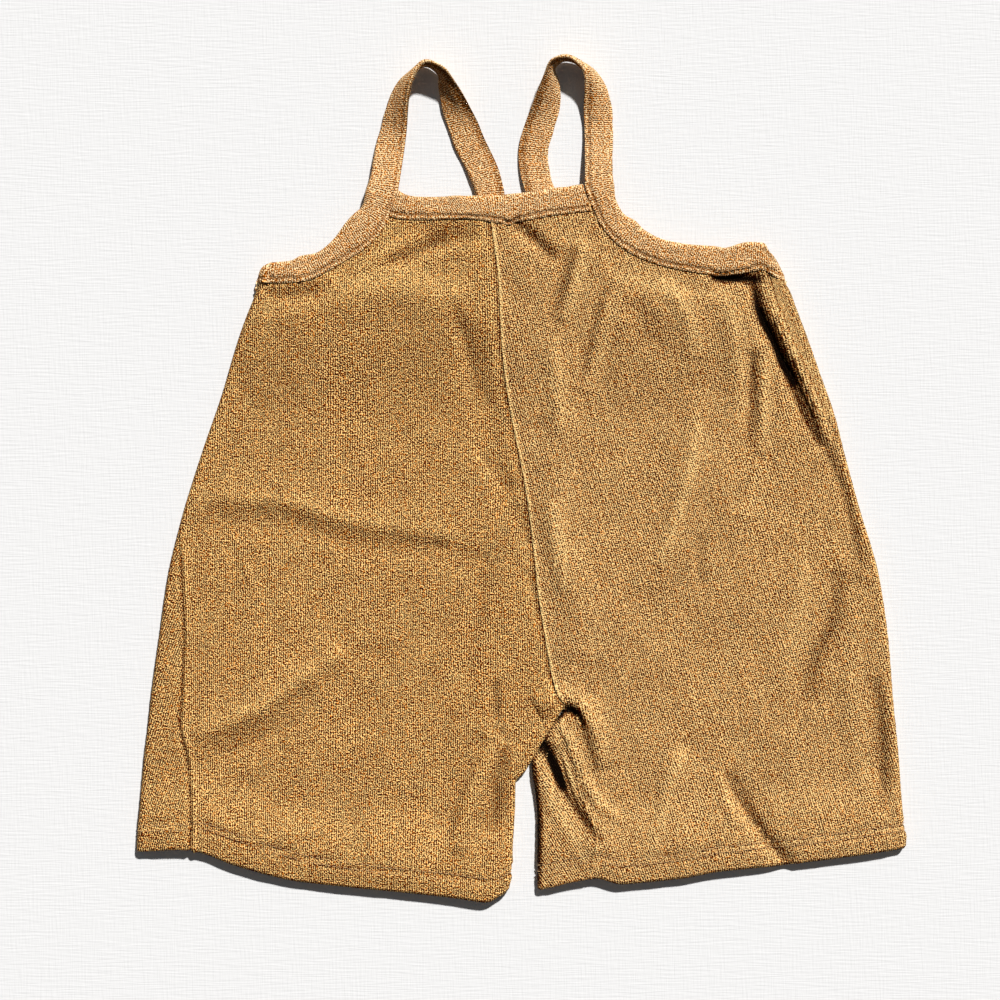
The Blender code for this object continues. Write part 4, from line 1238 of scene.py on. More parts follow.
@dataclass(frozen=True)
class TerryFinish:
    """Ribbed terry: crests, loops and valleys, with painted shade in the valleys and painted highlights on
    the crests. Scales are for a millimetre.

    Attributes:
        valley: Colour deep between the ribs, darkened as painted shade.
        body: Colour of the loops' sides.
        crest: Colour of the loops' tops, lightened as painted highlight.
        loops_across: Loops per millimetre across the ribs.
        loops_along: Loops per millimetre along the ribs.
        fibre_draw: Fibres along the ribs for each one across them.
        rib_share: Height of the ribs in the colour, as a share of the loops'.
        spread: Half the range of heights from valley to crest.
        body_shift: How far above the middle height the loops' sides are, as a share of that.
        crest_shift: How far above it their tops are, in the same way.
        painted_light_share: How much the painted light and shade shift the colour along the ramp.
        painted_light_floor: The least that the painted light scales the colour down to.
    """

    name: str
    valley: Colour
    body: Colour
    crest: Colour
    loops_across: float = 1.6
    loops_along: float = 1.15
    fibre_draw: float = 0.7
    fibre_scale: float = 2.0
    fibre_share: float = 0.7
    rib_share: float = 0.27
    spread: float = 0.074
    body_shift: float = 0.35
    crest_shift: float = 1.15
    clump: float = 0.08
    clump_scale: float = 0.3
    patch: float = 0.08
    patch_scale: float = 0.06
    painted_light_share: float = 0.3
    painted_light_floor: float = 0.03
    pitch: float = RIB_PITCH
    bump_height: float = 1.5
    roughness: float = 0.95
    gloss: float = 0.02
    sheen: float = 0.04
    sheen_roughness: float = 0.5
    sheen_tint: Colour = (1.0, 0.72, 0.42)

    def make(self) -> Material:
        """Build the material.

        Returns:
            The finished material.
        """
        w = Wiring(self.name)
        uv = w.add("ShaderNodeUVMap", {}, uv_map=UV_MAP)
        parts = w.add("ShaderNodeSeparateXYZ", {0: uv}).node.outputs
        across = w.sum(Sum.TIMES, parts[0], UV_UNIT)
        along = w.sum(Sum.TIMES, parts[1], UV_UNIT)
        turn = w.sum(Sum.TIMES, across, 2.0 * math.pi / self.pitch)
        rib = w.sum(Sum.TIMES_PLUS, w.sum(Sum.COSINE, turn), 0.5, 0.5)
        even = w.spot(across, along)
        loop = w.spot(w.sum(Sum.TIMES, across, self.loops_across), w.sum(Sum.TIMES, along, self.loops_along))
        loops = w.noise(loop, 1.0, 0.0)
        fibres = w.noise(w.spot(across, w.sum(Sum.TIMES, along, self.fibre_draw)), self.fibre_scale, 0.0)
        clumps = w.noise(even, self.clump_scale)
        patches = w.noise(even, self.patch_scale)
        # Painted light and shade, read from the mesh, shift the colour along the ramp and scale it.
        painted_light = w.add("ShaderNodeAttribute", {}, attribute_name=PAINTED_LIGHT).node.outputs["Fac"]
        height = w.swing(fibres, 0.5, self.fibre_share, w.swing(rib, 0.5, self.rib_share, loops))
        tone = w.swing(patches, 0.5, self.patch, w.swing(clumps, 0.5, self.clump, height))
        colour = w.add("ShaderNodeValToRGB", {0: w.swing(painted_light, 1.0, self.painted_light_share, tone)})
        stops = colour.node.color_ramp.elements
        stops[0].position, stops[0].color = 0.5 - self.spread, (*self.valley, 1.0)
        stops[1].position, stops[1].color = 0.5 + self.crest_shift * self.spread, (*self.crest, 1.0)
        stops.new(0.5 + self.body_shift * self.spread).color = (*self.body, 1.0)
        light = w.sum(Sum.LEAST, w.sum(Sum.MOST, painted_light, self.painted_light_floor), 1.0)
        lit = w.add("ShaderNodeVectorMath", {0: colour, "Scale": light}, operation="SCALE")
        return w.settle(
            height, self.bump_height, Base_Color=lit, Roughness=self.roughness,
            Specular_IOR_Level=self.gloss, Sheen_Weight=self.sheen,
            Sheen_Roughness=self.sheen_roughness, Sheen_Tint=(*self.sheen_tint, 1.0),
        )


@dataclass(frozen=True)
class ThreadFinish:
    """Matt sewing thread with its twist.

    Attributes:
        shaded: Colour between its strands, as a share of the thread's.
        strands: Strands per metre.
    """

    name: str
    colour: Colour
    shaded: float = 0.6
    strands: float = 1800.0
    bump_height: float = 0.1
    roughness: float = 0.8
    sheen: float = 0.2

    def make(self) -> Material:
        """Build the material.

        Returns:
            The finished material.
        """
        w = Wiring(self.name)
        place = w.add("ShaderNodeTexCoord", {}).node.outputs["Object"]
        strands = w.noise(place, self.strands, 1.0)
        colour = w.add("ShaderNodeValToRGB", {0: strands})
        stops = colour.node.color_ramp.elements
        stops[0].color = (*(self.shaded * value for value in self.colour), 1.0)
        stops[1].color = (*self.colour, 1.0)
        return w.settle(
            strands, self.bump_height, Base_Color=colour, Roughness=self.roughness, Sheen_Weight=self.sheen
        )


@dataclass(frozen=True)
class SurfaceFinish:
    """Pale, faintly woven surface that the garment lies on.

    Attributes:
        threads: Threads per metre.
        draw: Width of a thread's unevenness, as a share of its length.
    """

    name: str
    colour: Colour
    threads: float = 900.0
    draw: float = 0.08
    bump_height: float = 0.2
    roughness: float = 0.9

    def make(self) -> Material:
        """Build the material.

        Returns:
            The finished material.
        """
        w = Wiring(self.name)
        place = w.add("ShaderNodeTexCoord", {}).node.outputs["Object"]
        threads = []
        for stretch in ((1.0, self.draw, 1.0), (self.draw, 1.0, 1.0)):
            stretched = w.add("ShaderNodeMapping", {"Vector": place, "Scale": stretch})
            threads.append(w.noise(stretched, self.threads, 1.0))
        weave = w.sum(Sum.PLUS, *threads)
        return w.settle(weave, self.bump_height, Base_Color=(*self.colour, 1.0), Roughness=self.roughness)


@dataclass(frozen=True)
class Line:
    """A soft ridge or a line of painted highlight (+), or a groove or a line of painted shade (-), beside an
    edge.

    Attributes:
        height: What it adds at its middle.
        place: Distance of its middle from the edge.
        width: Half its width.
    """

    height: float
    place: float
    width: float

    def at(self, distance: Array, shift: Array | float = 0.0) -> Array:
        """What it adds at a distance from the edge, with its middle moved by a shift."""
        return self.height * bell(distance, self.place + shift, self.width)


@dataclass(frozen=True)
class SeamLook:
    """How the cloth rises and sinks beside a seam, with painted shade and painted highlights along it.

    Attributes:
        groove: Groove at the seam.
        ridge: Ridge beside it.
        dark: Painted shade in the groove.
        light: Painted highlight on the ridge.
        ribs: Height of ribs that run beside the seam.
        ribs_fade: Distances from the seam over which they end.
        ribs_pitch: From one of them to the next.
        ribs_light: Painted highlight on their crests and painted shade between them, for each millimetre of
            height.
    """

    groove: Line = Line(-0.7, 0.0, 0.9)
    ridge: Line = Line(0.5, 2.4, 1.4)
    dark: Line = Line(-0.3, 0.0, 0.9)
    light: Line = Line(0.1, 2.4, 1.4)
    ribs: float = 0.0
    ribs_fade: tuple[float, float] = (6.0, 8.0)
    ribs_pitch: float = 1.9
    ribs_light: float = 0.5

    def ribbing(self, distance: Array) -> Array:
        """Ribs that run beside the seam."""
        ribs = self.ribs * np.cos(2.0 * math.pi * distance / self.ribs_pitch)
        return ribs * (1.0 - smooth_step(distance, *self.ribs_fade))

    def rise(self, distance: Array) -> Array:
        """Rise at a distance from the seam."""
        return self.ridge.at(distance) + self.ribbing(distance) + self.groove.at(distance)

    def tone(self, distance: Array) -> Array:
        """Painted shade and painted highlight to add at a distance from the seam."""
        ribs = self.ribs_light * self.ribbing(distance)
        return self.light.at(distance) + ribs + self.dark.at(distance)


@dataclass(frozen=True)
class HemLook:
    """How the cloth sinks and swells along the hem's two rows of stitches, with painted shade and painted
    highlights there.

    Attributes:
        row_step: From the upper row of stitches down to the lower one.
        pucker: How far the thread draws the cloth up and down.
        roll: How much lower the front's folded edge lies.
        roll_reach: How far above the edge that goes.
        dark_width: Half width of the painted shade at each row.
    """

    row_step: float = 3.2
    groove: Line = Line(-0.8, 0.0, 0.8)
    upper_swell: Line = Line(0.3, 3.0, 1.8)
    lower_swell: Line = Line(0.3, -3.0, 2.2)
    pucker: Line = Line(0.35, 0.0, 8.0)
    puckers: Grain = Grain(21.0, 5.0, 9.0)
    roll: float = 0.9
    roll_reach: float = 8.0
    dark_width: float = 0.6
    # Painted highlights between the two rows and above the upper one.
    middle_light: Line = Line(0.22, -1.6, 0.9)
    upper_light: Line = Line(0.132, 1.6, 0.9)

    def rise(self, half: Half, face: Face, flat: Array) -> Array:
        """Rise along the hem.

        Args:
            half: The half that the hem is on.
            face: Front or back.
            flat: Flat places, as if unrolled.

        Returns:
            The rise at each place.
        """
        x, y = flat[..., 0], flat[..., 1]
        above = half.above_stitches(x, y)
        rise = self.pucker.at(above) * self.puckers(x, y)
        rise = rise + self.upper_swell.at(above) + self.lower_swell.at(above, -self.row_step)
        rise = rise + self.groove.at(above) + self.groove.at(above, -self.row_step)
        roll = 1.0 - smooth_step(half.above_hem(x, y), 0.0, self.roll_reach)
        return rise - self.roll * roll * (face is Face.FRONT)

    def tone(self, half: Half, flat: Array) -> Array:
        """Painted shade at the rows of stitches and painted highlights beside them, to add along the hem.

        Args:
            half: The half that the hem is on.
            flat: Flat places, as if unrolled.

        Returns:
            What to add at each place.
        """
        above = half.above_stitches(flat[..., 0], flat[..., 1])
        dark = Line(-HEM_ROW_DARK[half.side], 0.0, self.dark_width)
        light = self.middle_light.at(above) + self.upper_light.at(above)
        return light + dark.at(above) + dark.at(above, -self.row_step)


HEM = HemLook()


@dataclass(frozen=True)
class BindingLook:
    """How a binding sinks and swells along its stitched edges, with painted shade and painted highlights
    there.

    Attributes:
        wander: How far the line of stitches wanders.
        edge: Drop at the edge itself.
        swell: Swell inside the stitches.
        lip: Lip between the edge and the stitches.
        lump_fade: Distances from the edge over which soft lumps come in.
        puff: How far the upper leaf swells.
        highest: The most that all this may rise.
    """

    wander: float = 0.4
    wanders: Grain = Grain(41.0, 2.4, 60.0)
    groove: Line = Line(-0.8, 0.0, 0.8)
    edge: Line = Line(-0.9, 0.0, 1.0)
    swell: Line = Line(0.45, 2.4, 1.5)
    lip: Line = Line(0.3, 0.9, 0.6)
    lump: float = 0.25
    lumps: Grain = Grain(31.0, 6.5, 9.0)
    lump_fade: tuple[float, float] = (0.5, 3.0)
    puff: float = 0.45
    highest: float = 0.6
    # Painted shade in the line of stitches and at the edge, and a painted highlight between them.
    dark: Line = Line(-0.35, 0.0, 0.8)
    light: Line = Line(0.22, -1.2, 0.7)
    edge_dark: Line = Line(-0.15, 0.0, 0.5)

    def rise(self, along: Array, around: Array, from_edge: Array, stitches: Array) -> Array:
        """Rise of the strip's outer face, knit included.

        Args:
            along: Distances along the strip.
            around: Distances across it, from the upper stitched edge round to the lower one.
            from_edge: Distances from the nearer stitched edge.
            stitches: Distance of the line of stitches from that edge.

        Returns:
            The rise at each place.
        """
        share = np.clip(around / around[:, -1:], 0.0, 1.0)
        rise = KNIT.relief(along, around) + self.groove.at(from_edge, stitches) + self.edge.at(from_edge)
        rise = rise + (self.swell.at(from_edge, stitches) + self.lip.at(from_edge))
        rise = rise + self.lump * self.lumps(along, around) * smooth_step(from_edge, *self.lump_fade)
        rise = rise + self.puff * np.sin(math.pi * np.clip(share * 2.0, 0.0, 1.0))
        return np.minimum(rise, self.highest)

    def tone(self, from_edge: Array, stitches: Array) -> Array:
        """Painted shade and painted highlight that the stitched edges add."""
        inside = self.dark.at(from_edge, stitches) + self.light.at(from_edge, stitches)
        return inside + self.edge_dark.at(from_edge)


def declare_cut(piece: Piece, middle: Array) -> None:
    """Log the size that a laid piece of cloth was cut to.

    Args:
        piece: The piece.
        middle: Middle of its cloth as a grid, in millimetres.
    """
    across = np.diff(middle, axis=1)
    up = np.diff(middle, axis=0)
    width = np.linalg.norm(across, axis=2).sum(axis=1).max() * MM
    length = np.linalg.norm(up, axis=2).sum(axis=0).max() * MM
    area = np.linalg.norm(np.cross(across[:-1], up[:, :-1]), axis=2).sum() * MM**2
    area = min(float(area), width * length)
    LOG.info("%s was cut %.3f x %.3f m, %.4f m2", piece.name, width, length, area)


class PanelGrid(NamedTuple):
    """Where the vertices of a panel's outer skin are, row by row.

    Attributes:
        angle: Angle turned at the hem's fold; half a turn is the outer layer.
        start: Distance along the cloth at which each row starts.
        end: Distance along the cloth at which each row ends.
        ribs: Places across and along the ribs.
    """

    level: Array
    angle: Array
    start: Array
    end: Array
    along: Array
    surface: Surface
    ribs: Array

    @property
    def outer_layer(self) -> Array:
        """Whether a row is on the outer layer."""
        return np.cos(self.angle) < 0.0

    @property
    def hem(self) -> Array:
        """Whether a row is on the hem's outer layer."""
        return (self.level < HEM_PART) & self.outer_layer

    @property
    def fold(self) -> Array:
        """Whether a row is on the hem's fold."""
        return (np.sin(self.angle) > FOLD_START) & (self.level < HEM_PART)


@dataclass
class Panel:
    """A half front or half back, with its hem turned up.

    Attributes:
        node: Name of the solid that it stands for.
        rib_tilt: Lean of the ribs, in degrees, top to the left.
        row_pitch: Distance between rows of vertices.
        side_seam: Look of its side seam.
        end_seam: Look of its centre seam and inseam.
        turned_tilt: Lean of the ribs where the panel goes on round the leg's inner edge.
        dense: Places at which the ribs are looked for across a row.
        inner_stride: Rows of the outer skin for each one of the inner skin.
        turned_levels: Levels of the rows on the turned-up part, from its edge down.
        lengths: Lengths of the leg, the body and the bib, which their rows are counted from.
        stitch_levels: Levels at which the hem's stitches are looked for: first, last, count.
        stitch_shares: Shares of the way across at which they are, in the same way.
    """

    node: str
    half: Half
    face: Face
    rib_tilt: float
    row_pitch: float
    samples_per_rib: int
    side_seam: SeamLook
    end_seam: SeamLook
    turned_tilt: float = 0.0
    dense: int = 420
    inner_columns: int = 44
    inner_stride: int = 4
    turned_levels: tuple[float, ...] = (0.155, 0.12, 0.085, 0.05, 0.03)
    hem_level: float = 0.0175
    fold_rows: int = 7
    fold_radius: float = LAYER_STEP / 2.0
    first_level: float = 0.03
    lengths: tuple[float, float, float] = (105.0, 172.0, 85.0)
    stitch_levels: tuple[float, float, int] = (0.03, 0.28, 60)
    stitch_shares: tuple[float, float, int] = (0.003, 0.997, 260)

    def limits(self, level: Array) -> tuple[Array, Array]:
        """Distances along the cloth of the side seam and of the centre seam or inseam.

        Args:
            level: Levels of the rows, as a column.

        Returns:
            Where the panel starts and ends on each row.
        """
        sizes = self.half.across(self.face, level)
        inset = Profile(self.half.edge, 2)(sizes.y_outer)
        eased = np.minimum(np.abs(inset), (BEND - 1.0) * sizes.radius)
        start = self.face.value * (inset + np.copysign(eased, inset)) + TIGHT_GAP / 2.0
        past = self.face.value * Profile(self.half.inseam, 2)(sizes.y_inner)
        ease = (CROTCH_EASE - SEAM_GAP / 2.0) * (1.0 - smooth_step(level, *CROTCH_EASE_LEVELS))
        end = np.where(level <= 1.0, sizes.width + past, sizes.width - ease)
        return start, end - TIGHT_GAP / 2.0

    def rib_place(self, flat: Array, degrees: float) -> Array:
        """Places across and along the ribs.

        Args:
            flat: Flat places, as if unrolled.
            degrees: Lean of the ribs.

        Returns:
            Places across and along the ribs, waving a little as knit does.
        """
        tilt = math.radians(degrees)
        x, y = flat[..., 0], flat[..., 1]
        across = x * math.cos(tilt) + y * math.sin(tilt) + unevenness(RIB_WAVERS, x, y)
        return np.stack((across, y * math.cos(tilt) - x * math.sin(tilt)), -1)

    def rows(self) -> tuple[Array, Array]:
        """Rows from the turned-up edge, round the hem's fold and up to the cut edge.

        Returns:
            Level, and angle turned at the hem's fold, each as a column.
        """
        parts = []
        for number, (length, lowest) in enumerate(zip(self.lengths, (self.first_level, 1.0, 2.0))):
            levels = np.linspace(lowest, number + 1.0, int(length / self.row_pitch))
            parts.append(levels if number == 0 else levels[1:])
        outer = np.concatenate(parts)
        folds = np.linspace(0.0, 180.0, self.fold_rows)
        level = np.concatenate((self.turned_levels, np.full(self.fold_rows, self.hem_level), outer))
        angle = np.concatenate((np.zeros(len(self.turned_levels)), folds, np.full(len(outer), 180.0)))
        return level[:, None], np.radians(angle)[:, None]

    def place(self, level: Array, angle: Array, along: Array) -> Surface:
        """Middle of the cloth, hem and turned-up part included.

        Args:
            level: Levels of the rows, as a column.
            angle: Angle turned at the hem's fold, as a column.
            along: Distances along the cloth.

        Returns:
            The surface at each place.
        """
        found = self.half.surface(self.face, level, along)
        inside = (self.fold_radius * (1.0 + np.cos(angle)))[..., None]
        past = (self.fold_radius * np.sin(angle))[..., None]
        down = np.array((0.0, -1.0, 0.0))
        point = found.point - found.normal * inside + down * past
        normal = unit(-np.cos(angle)[..., None] * found.normal + np.sin(angle)[..., None] * down)
        return Surface(point, normal, found.flat)

    def columns(self, level: Array, start: Array, end: Array) -> Array:
        """Find the columns of vertices, which follow the ribs.

        Args:
            level: Levels of the rows, as a column.
            start: Where each row starts.
            end: Where each row ends.

        Returns:
            Distances along the cloth, a row for each level, held at the row's two ends.
        """
        spread = mix(start, end, np.linspace(0.0, 1.0, self.dense)[None, :])
        flat = self.half.surface(self.face, level, spread).flat
        across = self.rib_place(flat, self.rib_tilt)[..., 0] * self.half.side.value
        across = np.maximum.accumulate(across, axis=1)
        step = RIB_PITCH / self.samples_per_rib
        marks = step * np.arange(math.floor(across.min() / step), math.ceil(across.max() / step) + 1)
        return np.stack([np.interp(marks, ribs, places) for ribs, places in zip(across, spread)])

    def grid(self) -> PanelGrid:
        """Lay out the outer skin.

        Returns:
            Its places.
        """
        level, angle = self.rows()
        start, end = self.limits(level)
        along = self.columns(level, start, end)
        surface = self.place(level, angle, along)
        ribs = self.rib_place(surface.flat, self.rib_tilt)
        turned = (along > self.half.across(self.face, level).width)[..., None]
        ribs = np.where(turned, self.rib_place(surface.point[..., :2], self.turned_tilt), ribs)
        ribs[..., 1] -= self.fold_radius * (math.pi - angle)
        return PanelGrid(level, angle, start, end, along, surface, ribs)

    def seam_shares(self, grid: PanelGrid) -> tuple[Array, Array]:
        """How much of the side seam's and of the end seam's look each row has."""
        inset = np.abs(Profile(self.half.edge, 2)(grid.surface.flat[:, :1, 1]))
        return smooth_step(inset, *SIDE_FADE), mix(INSEAM_SHARE, 1.0, smooth_step(grid.level, *INSEAM_FADE))

    def rise(self, grid: PanelGrid) -> Array:
        """Rise of knit, seams and hem on the outer skin.

        Args:
            grid: Its places.

        Returns:
            The rise at each place; a back stays below its plain face, where it rests.
        """
        clear, body = self.seam_shares(grid)
        seams = self.side_seam.rise(grid.along - grid.start) * clear
        seams = seams + self.end_seam.rise(grid.end - grid.along) * body
        rise = KNIT.relief(grid.ribs[..., 0], grid.ribs[..., 1]) * np.where(grid.fold, FOLD_KNIT, 1.0)
        rise = rise + np.where(self.face is Face.FRONT, seams, np.minimum(seams, 0.0))
        rise = rise + HEM.rise(self.half, self.face, grid.surface.flat) * grid.hem
        return rise if self.face is Face.FRONT else np.minimum(rise, 0.0)

    def tone(self, grid: PanelGrid) -> Array:
        """Painted light and shade on the outer skin: lighter where it faces the light, with painted shade and
        highlights along creases, hem and seams.

        Args:
            grid: Its places.

        Returns:
            The lightness at each place.
        """
        point, normal, flat = grid.surface
        clear, body = self.seam_shares(grid)
        tone = painted_light_tone(normal)
        tone = np.where(grid.fold, np.maximum(tone, FOLD_TONE), tone)
        tone = tone + HEM.tone(self.half, flat) * grid.hem
        on_top = (normal[..., 2] > 0.0) & grid.outer_layer
        tone = tone + self.half.shade(point[..., 0], point[..., 1]) * on_top
        tone = tone + self.side_seam.tone(grid.along - grid.start) * clear
        return tone + self.end_seam.tone(grid.end - grid.along) * body

    def kept_columns(self, grid: PanelGrid) -> Array:
        """Find the vertices that each row keeps, as it goes no further than its two ends.

        Args:
            grid: Places of the outer skin.

        Returns:
            Number of the column that each vertex is taken from.
        """
        count = grid.along.shape[1]
        first = np.argmax(grid.along > grid.start + TINY, axis=1) - 1
        last = count - np.argmax(grid.along[:, ::-1] < grid.end - TINY, axis=1)
        chosen = np.clip(np.arange(count)[None, :], first[:, None], last[:, None])
        return np.clip(chosen, 0, count - 1)

    def build(self, material: Material) -> Piece:
        """Make the panel's shell.

        Args:
            material: Its finish.

        Returns:
            The new piece.
        """
        grid = self.grid()
        point, normal, _ = grid.surface
        outer = point + normal * (CLOTH_WALL / 2.0 + self.rise(grid)[..., None])
        outer[..., 2] = np.maximum(outer[..., 2], 0.0)
        shell = Shell()
        chosen = self.kept_columns(grid)
        numbers = np.take_along_axis(shell.add_points(outer, grid.ribs, self.tone(grid)), chosen, axis=1)

        count = len(grid.level)
        hem_rows = len(self.turned_levels) + self.fold_rows
        picked = sorted(set(range(0, count, self.inner_stride)) | {count - 1} | set(range(hem_rows)))
        inner_along = mix(grid.start, grid.end, np.linspace(0.0, 1.0, self.inner_columns)[None, :])[picked]
        lining = self.place(grid.level[picked], grid.angle[picked], inner_along)
        inner = lining.point - lining.normal * CLOTH_WALL / 2.0
        inner_numbers = shell.add_points(inner, self.rib_place(lining.flat, self.rib_tilt))
        shell.close(numbers, inner_numbers, self.half.side.value * self.face.value > 0)
        piece = shell.to_object(self.node + "_cloth", material)
        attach(piece, "root")
        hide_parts(self.node)
        middle = np.take_along_axis(point, chosen[..., None], axis=1)
        declare_cut(piece, middle)
        return piece

    def hem_lines(self) -> list[tuple[Array, Array]]:
        """Find the two rows of hem stitches.

        Returns:
            Points and normals of each row.
        """
        level = np.linspace(*self.stitch_levels)[:, None]
        start, end = self.limits(level)
        along = mix(start, end, np.linspace(*self.stitch_shares)[None, :])
        point, normal, flat = self.place(level, np.full_like(level, math.pi), along)
        above = self.half.above_stitches(flat[..., 0], flat[..., 1])
        lifted = point + normal * (CLOTH_WALL / 2.0 - STITCH_DEPTH[self.face])
        found = []
        for below in (0.0, HEM.row_step):
            nearest = np.argmin(np.abs(above + below), axis=0), np.arange(along.shape[1])
            found.append((lifted[nearest], normal[nearest]))
        return found


def refine(table: Rows, parts: int) -> Array:
    """Rows along a table, as a smooth curve through its rows.

    Args:
        table: The rows.
        parts: Rows made from each.

    Returns:
        The finer rows.
    """
    rows = np.array(table, float)
    start, end = rows[:-1, None], rows[1:, None]
    before = np.vstack((rows[:1], rows[:-2]))[:, None]
    after = np.vstack((rows[2:], rows[-1:]))[:, None]
    t = (np.arange(parts) / parts)[None, :, None]
    fine = 0.5 * (
        2 * start + (end - before) * t + (2 * before - 5 * start + 4 * end - after) * t**2
        + (3 * start - before - 3 * end + after) * t**3
    )
    return np.vstack((fine.reshape(-1, rows.shape[1]), rows[-1:]))


@dataclass
class Strip:
    """A strip folded over an edge, with its ribs across it.

    Attributes:
        node: Name of the solid that it stands for.
        binds: Names of the panels that it is folded over; not used.
        station: Distance between sections.
        edge_places: Distances from the stitched edge where the cloth rolls and is stitched.
        stitch_column: Which of them the stitches lie on.
        parts: Sections worked out for each station of the tables.
        inner_stride: Sections of the outer skin for each one of the inner skin.
    """

    node: str
    binds: tuple[str, ...]
    station: float = RIB_PITCH / SAMPLES_PER_RIB
    edge_places: tuple[float, ...] = (0.0, 0.5, 1.0, 1.6, 2.2, 2.8, 3.4, 4.2)
    stitch_column: int = 4
    upper_parts: int = 7
    crown_parts: int = 8
    lower_parts: int = 7
    parts: int = 4
    inner_stride: int = 6
    look: BindingLook = BindingLook()

    def section(self, width: Array, leaf: Array) -> tuple[Array, Array]:
        """Folded strip in section.

        Args:
            width: Widths, one for each section.
            leaf: Distances of a leaf from the middle.

        Returns:
            Distance from the stitched edge and distance from the middle, section by section.
        """
        width, leaf = width[:, None], np.broadcast_to(leaf, width.shape)[:, None]
        crown = width - leaf - BAND_WALL / 2.0
        near = np.array(self.edge_places)[None, :]
        far = mix(near[:, -1:], crown, np.linspace(0.0, 1.0, self.upper_parts)[None, 1:])
        upper = np.concatenate((np.broadcast_to(near, (len(width), near.shape[1])), far), axis=1)
        turn = np.linspace(0.0, math.pi, self.crown_parts + 1)[None, 1:]
        lower = crown * np.linspace(1.0, 0.0, self.lower_parts)[None, 1:]
        place = np.concatenate((upper, crown + leaf * np.sin(turn), lower), axis=1)
        above, below = np.broadcast_to(leaf, upper.shape), np.broadcast_to(-leaf, lower.shape)
        return place, np.concatenate((above, leaf * np.cos(turn), below), axis=1)

    def bound_rings(self, face: Face, rows: Array, half: Half | None) -> Array:
        """Sections on a panel, made from the panel's own points moved out.

        Args:
            face: Front or back.
            rows: Fold edge x, y and stitched edge x, y.
            half: The half, or none where the strip crosses the centre seam.

        Returns:
            Points, section by section.
        """
        fold_edge, stitched_edge = rows[:, :2], rows[:, 2:]
        width = np.linalg.norm(fold_edge - stitched_edge, axis=1)
        outward = (fold_edge - stitched_edge) / width[:, None]
        place, off = self.section(width, BOUND_LEAF)
        spot = stitched_edge[:, None] + outward[:, None] * place[..., None]
        x, y = spot[..., 0], spot[..., 1]
        point, normal = (half or LEFT).cloth_point(face, x, y)
        if half is None:
            right = (x >= Profile(CENTRE_FRONT)(y))[..., None]
            other = RIGHT.cloth_point(face, x, y)
            point, normal = np.where(right, other[0], point), np.where(right, other[1], normal)
        return point + normal * off[..., None]

    def rings(self) -> Array:
        """Sections along the whole strip."""
        raise NotImplementedError

    def build(self, material: Material) -> tuple[Piece, Array, Array]:
        """Make the strip's shell.

        Args:
            material: Its finish.

        Returns:
            The new piece, and the points and normals of its line of stitches.
        """
        rings = self.rings()
        passed = distances(rings.mean(axis=1))
        fine = np.linspace(0.0, passed[-1], int(passed[-1] / self.station) + 1)
        points = smooth_through(rings, passed, fine)
        facing = np.cross(np.gradient(points, axis=1), np.gradient(points, axis=0))
        away = points - points.mean(axis=1, keepdims=True)
        normal = unit(facing)
        normal = normal * np.sign(np.sum(normal * away, axis=(1, 2)))[:, None, None]
        steps = np.linalg.norm(np.diff(points, axis=1), axis=2)
        around = np.concatenate((np.zeros((len(fine), 1)), np.cumsum(steps, axis=1)), axis=1)
        along = np.broadcast_to(fine[:, None], around.shape)
        from_edge = np.minimum(around, around[:, -1:] - around)
        stitches = self.edge_places[self.stitch_column] + self.look.wander * self.look.wanders(along, around)
        rise = self.look.rise(along, around, from_edge, stitches)
        outer = points + normal * (BAND_WALL / 2.0 + rise)[..., None]
        outer[..., 2] = np.maximum(outer[..., 2], TABLE_CLEARANCE)
        flat = np.stack((along, around), -1)
        shell = Shell()
        # Painted light by how the strip faces the light, with painted shade and highlights along its stitched
        # edges.
        numbers = shell.add_points(outer, flat, painted_light_tone(normal) + self.look.tone(from_edge, stitches))
        picked = np.unique(np.append(np.arange(0, len(fine), self.inner_stride), len(fine) - 1))
        inner = (points - normal * BAND_WALL / 2.0)[picked]
        inner_numbers = shell.add_points(inner, flat[picked])
        shell.close(numbers, inner_numbers, not np.sum(facing * normal) < 0.0)
        piece = shell.to_object(self.node + "_cloth", material)
        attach(piece, "root")
        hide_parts(self.node)
        declare_cut(piece, points)
        return piece, outer[:, self.stitch_column], normal[:, self.stitch_column]


